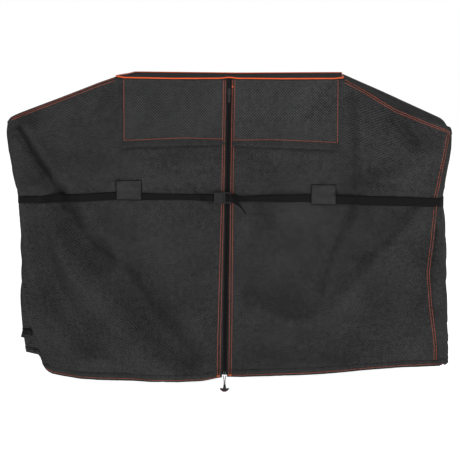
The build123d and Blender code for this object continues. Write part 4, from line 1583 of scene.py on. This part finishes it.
# %% Side straps
def side_strap(side, name):
    strap_low, strap_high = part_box(name + "_front_strap")
    high, low = strap_high.z, strap_low.z
    buckle_low, buckle_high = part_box(name + "_strap_buckle_socket")
    middle = abs(buckle_low.x + buckle_high.x) / 2
    bar = buckle_low.y + 0.002

    def stations(path):
        return [(Vector((side * a, b, high)), Vector((side * a, b, low))) for a, b in path]

    rays = [((side * 1.6, b), (-side, 0, 0), high, low) for b in np.linspace(-0.255, -0.085, 18)]
    front = lie_on_skin(rays, 0.0013)
    front += stations([
        (middle + 0.0010, -0.066), (middle - 0.0034, -0.052), (middle - 0.0034, bar + 0.001),
        (middle - 0.0018, bar + 0.0042), (middle + 0.0002, bar + 0.0050), (middle + 0.0022, bar + 0.0042),
        (middle + 0.0035, bar + 0.001), (middle + 0.0034, bar - 0.006), (middle + 0.0040, -0.062),
    ])
    ribbon(name + "_front_strap_ribbon", front, webbing_thick, "cover", name + "_front_strap")

    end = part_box(name + "_strap_buckle_plug")[1].y - 0.0025
    inner = end - 0.010
    rays = [((side * 1.6, b), (-side, 0, 0), high, low) for b in np.linspace(0.275, 0.075, 20)]
    rear = lie_on_skin(rays, 0.0013)
    rear += stations([
        (middle + 0.0006, 0.056), (middle - 0.0036, 0.040), (middle - 0.0036, end),
        (middle - 0.0036, inner + 0.002),
        (middle - 0.0030, inner - 0.0035), (middle, inner - 0.0050), (middle + 0.0028, inner - 0.0040),
        (middle + 0.0031, inner), (middle + 0.0028, inner + 0.0036), (middle + 0.0004, inner + 0.0042),
    ])
    rear_ribbon, _ = ribbon(name + "_rear_strap_ribbon", rear, webbing_thick, None, name + "_rear_strap")
    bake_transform(rear_ribbon)
    tail = stations([
        (middle + 0.0012, end - 0.0044), (middle + 0.0030, end - 0.0030), (middle + 0.0032, end + 0.002),
        (middle + 0.0050, end + 0.010), (middle + 0.0090, end + 0.022), (middle + 0.0150, end + 0.036),
        (middle + 0.0230, end + 0.048),
    ])
    tail = [
        (upper + Vector((0, 0, -0.0015 * step)), lower + Vector((0, 0, -0.0022 * step)))
        for step, (upper, lower) in enumerate(tail)
    ]
    ribbon(name + "_strap_tail_ribbon", tail, webbing_thick, name + "_strap_plug", name + "_strap_tail")


side_strap(-1, "left")
side_strap(1, "right")

# %% [markdown]
# ## Drawcord and its lock
# The drawcord runs in the hem channel all the way round, so only a length inside the channel is made there.
# Its two ends come out beside the foot of the zip, meet in the cord lock and hang. They are a few
# centimetres long and limp, and the lock's weight keeps them straight.

# %% Drawcord in the channel
bottom_ring = {}
for vert, height_share in zip(bm.verts, w):
    if height_share < -1 + 1e-6:
        inward = Vector((-vert.normal.x, -vert.normal.y, 0)).normalized()
        place = vert.co + inward * 0.0042 + Vector((0, 0, 0.0125))
        bottom_ring[round(math.atan2(vert.co.x - zip_line(hem_z), -vert.co.y) % (2 * math.pi), 5)] = place
ring = [bottom_ring[angle] for angle in sorted(bottom_ring)][1:-1]
ring_mesh = round_tube("drawcord_in_hem", ring, 0.0014, closed=False, sides=8)
drawcord = hang("drawcord_in_hem", ring_mesh, "cover", cord_black)
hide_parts("drawcord")
print("drawcord stations", len(ring))

# %% Free ends of the drawcord
lock_x = (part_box("cord_lock_button")[0].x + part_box("cord_lock_button")[1].x) / 2
lock_y = (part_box("cord_lock_button")[0].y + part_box("cord_lock_button")[1].y) / 2
spreads = [0.0046, 0.0036, 0.0020, 0.0016, 0.0016]
drops = [-1.1379, -1.1469, -1.1559, -1.1650, -1.1790]
for side, name in ((-1, "left"), (1, "right")):
    curve = bpy.data.curves.new(name + "_cord", "CURVE")
    curve.dimensions = "3D"
    curve.resolution_u = 12
    curve.bevel_depth = 0.0015
    curve.bevel_resolution = 4
    curve.use_fill_caps = True
    spline = curve.splines.new("NURBS")
    spline.points.add(len(drops) - 1)
    for point, spread, drop in zip(spline.points, spreads, drops):
        point.co = (lock_x + side * spread, lock_y, drop, 1.0)
    spline.order_u = 3
    spline.use_endpoint_u = True
    cord = bpy.data.objects.new(name + "_cord", curve)
    bpy.context.scene.collection.objects.link(cord)
    curve.materials.append(cord_black)
    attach(cord, "cord_lock")
    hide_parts(name + "_cord_end")
print("two cord ends")

# %% [markdown]
# ## Pieces kept as they are
# The zip's tapes, stops and pin, the small patch above the zip, the mesh windows and the lock's spring are
# plain in shape, so the CAD pieces stay and only get their finish. The mesh is a net of fine yarn: its
# holes are left open by the material.

# %% Finish of the kept pieces
mesh_paint = Paint("vent_net")
net_x, _, net_z = mesh_paint.parts_of(mesh_paint.object_place())
strands = (net_x * (math.pi / 0.0016)).sine().absolute().maths(
    "MAXIMUM", (net_z * (math.pi / 0.0016)).sine().absolute()
)
net_noise = mesh_paint.speckle(mesh_paint.object_place(), 300.0)
mesh_paint.feed("Base Color", mesh_paint.between(net_noise, (0.006, 0.006, 0.006), (0.02, 0.02, 0.02)))
mesh_paint.feed("Alpha", strands.above(0.78))
mesh_paint.set(Roughness=0.7)

kept = {
    "left_vent_mesh": mesh_paint.material, "right_vent_mesh": mesh_paint.material,
    "left_zip_tape": tape_black, "right_zip_tape": tape_black, "zip_garage": tape_black,
    "zip_top_stops": enamel_black, "zip_pin": nylon_black, "cord_lock_spring": spring_steel,
}
for node, material in kept.items():
    mesh = frame["nodes"][node].data
    mesh.materials.clear()
    mesh.materials.append(material)
left_over = [name for name, obj in frame["nodes"].items() if not obj.hide_render and name not in kept]
print("shown CAD pieces without a finish:", left_over)
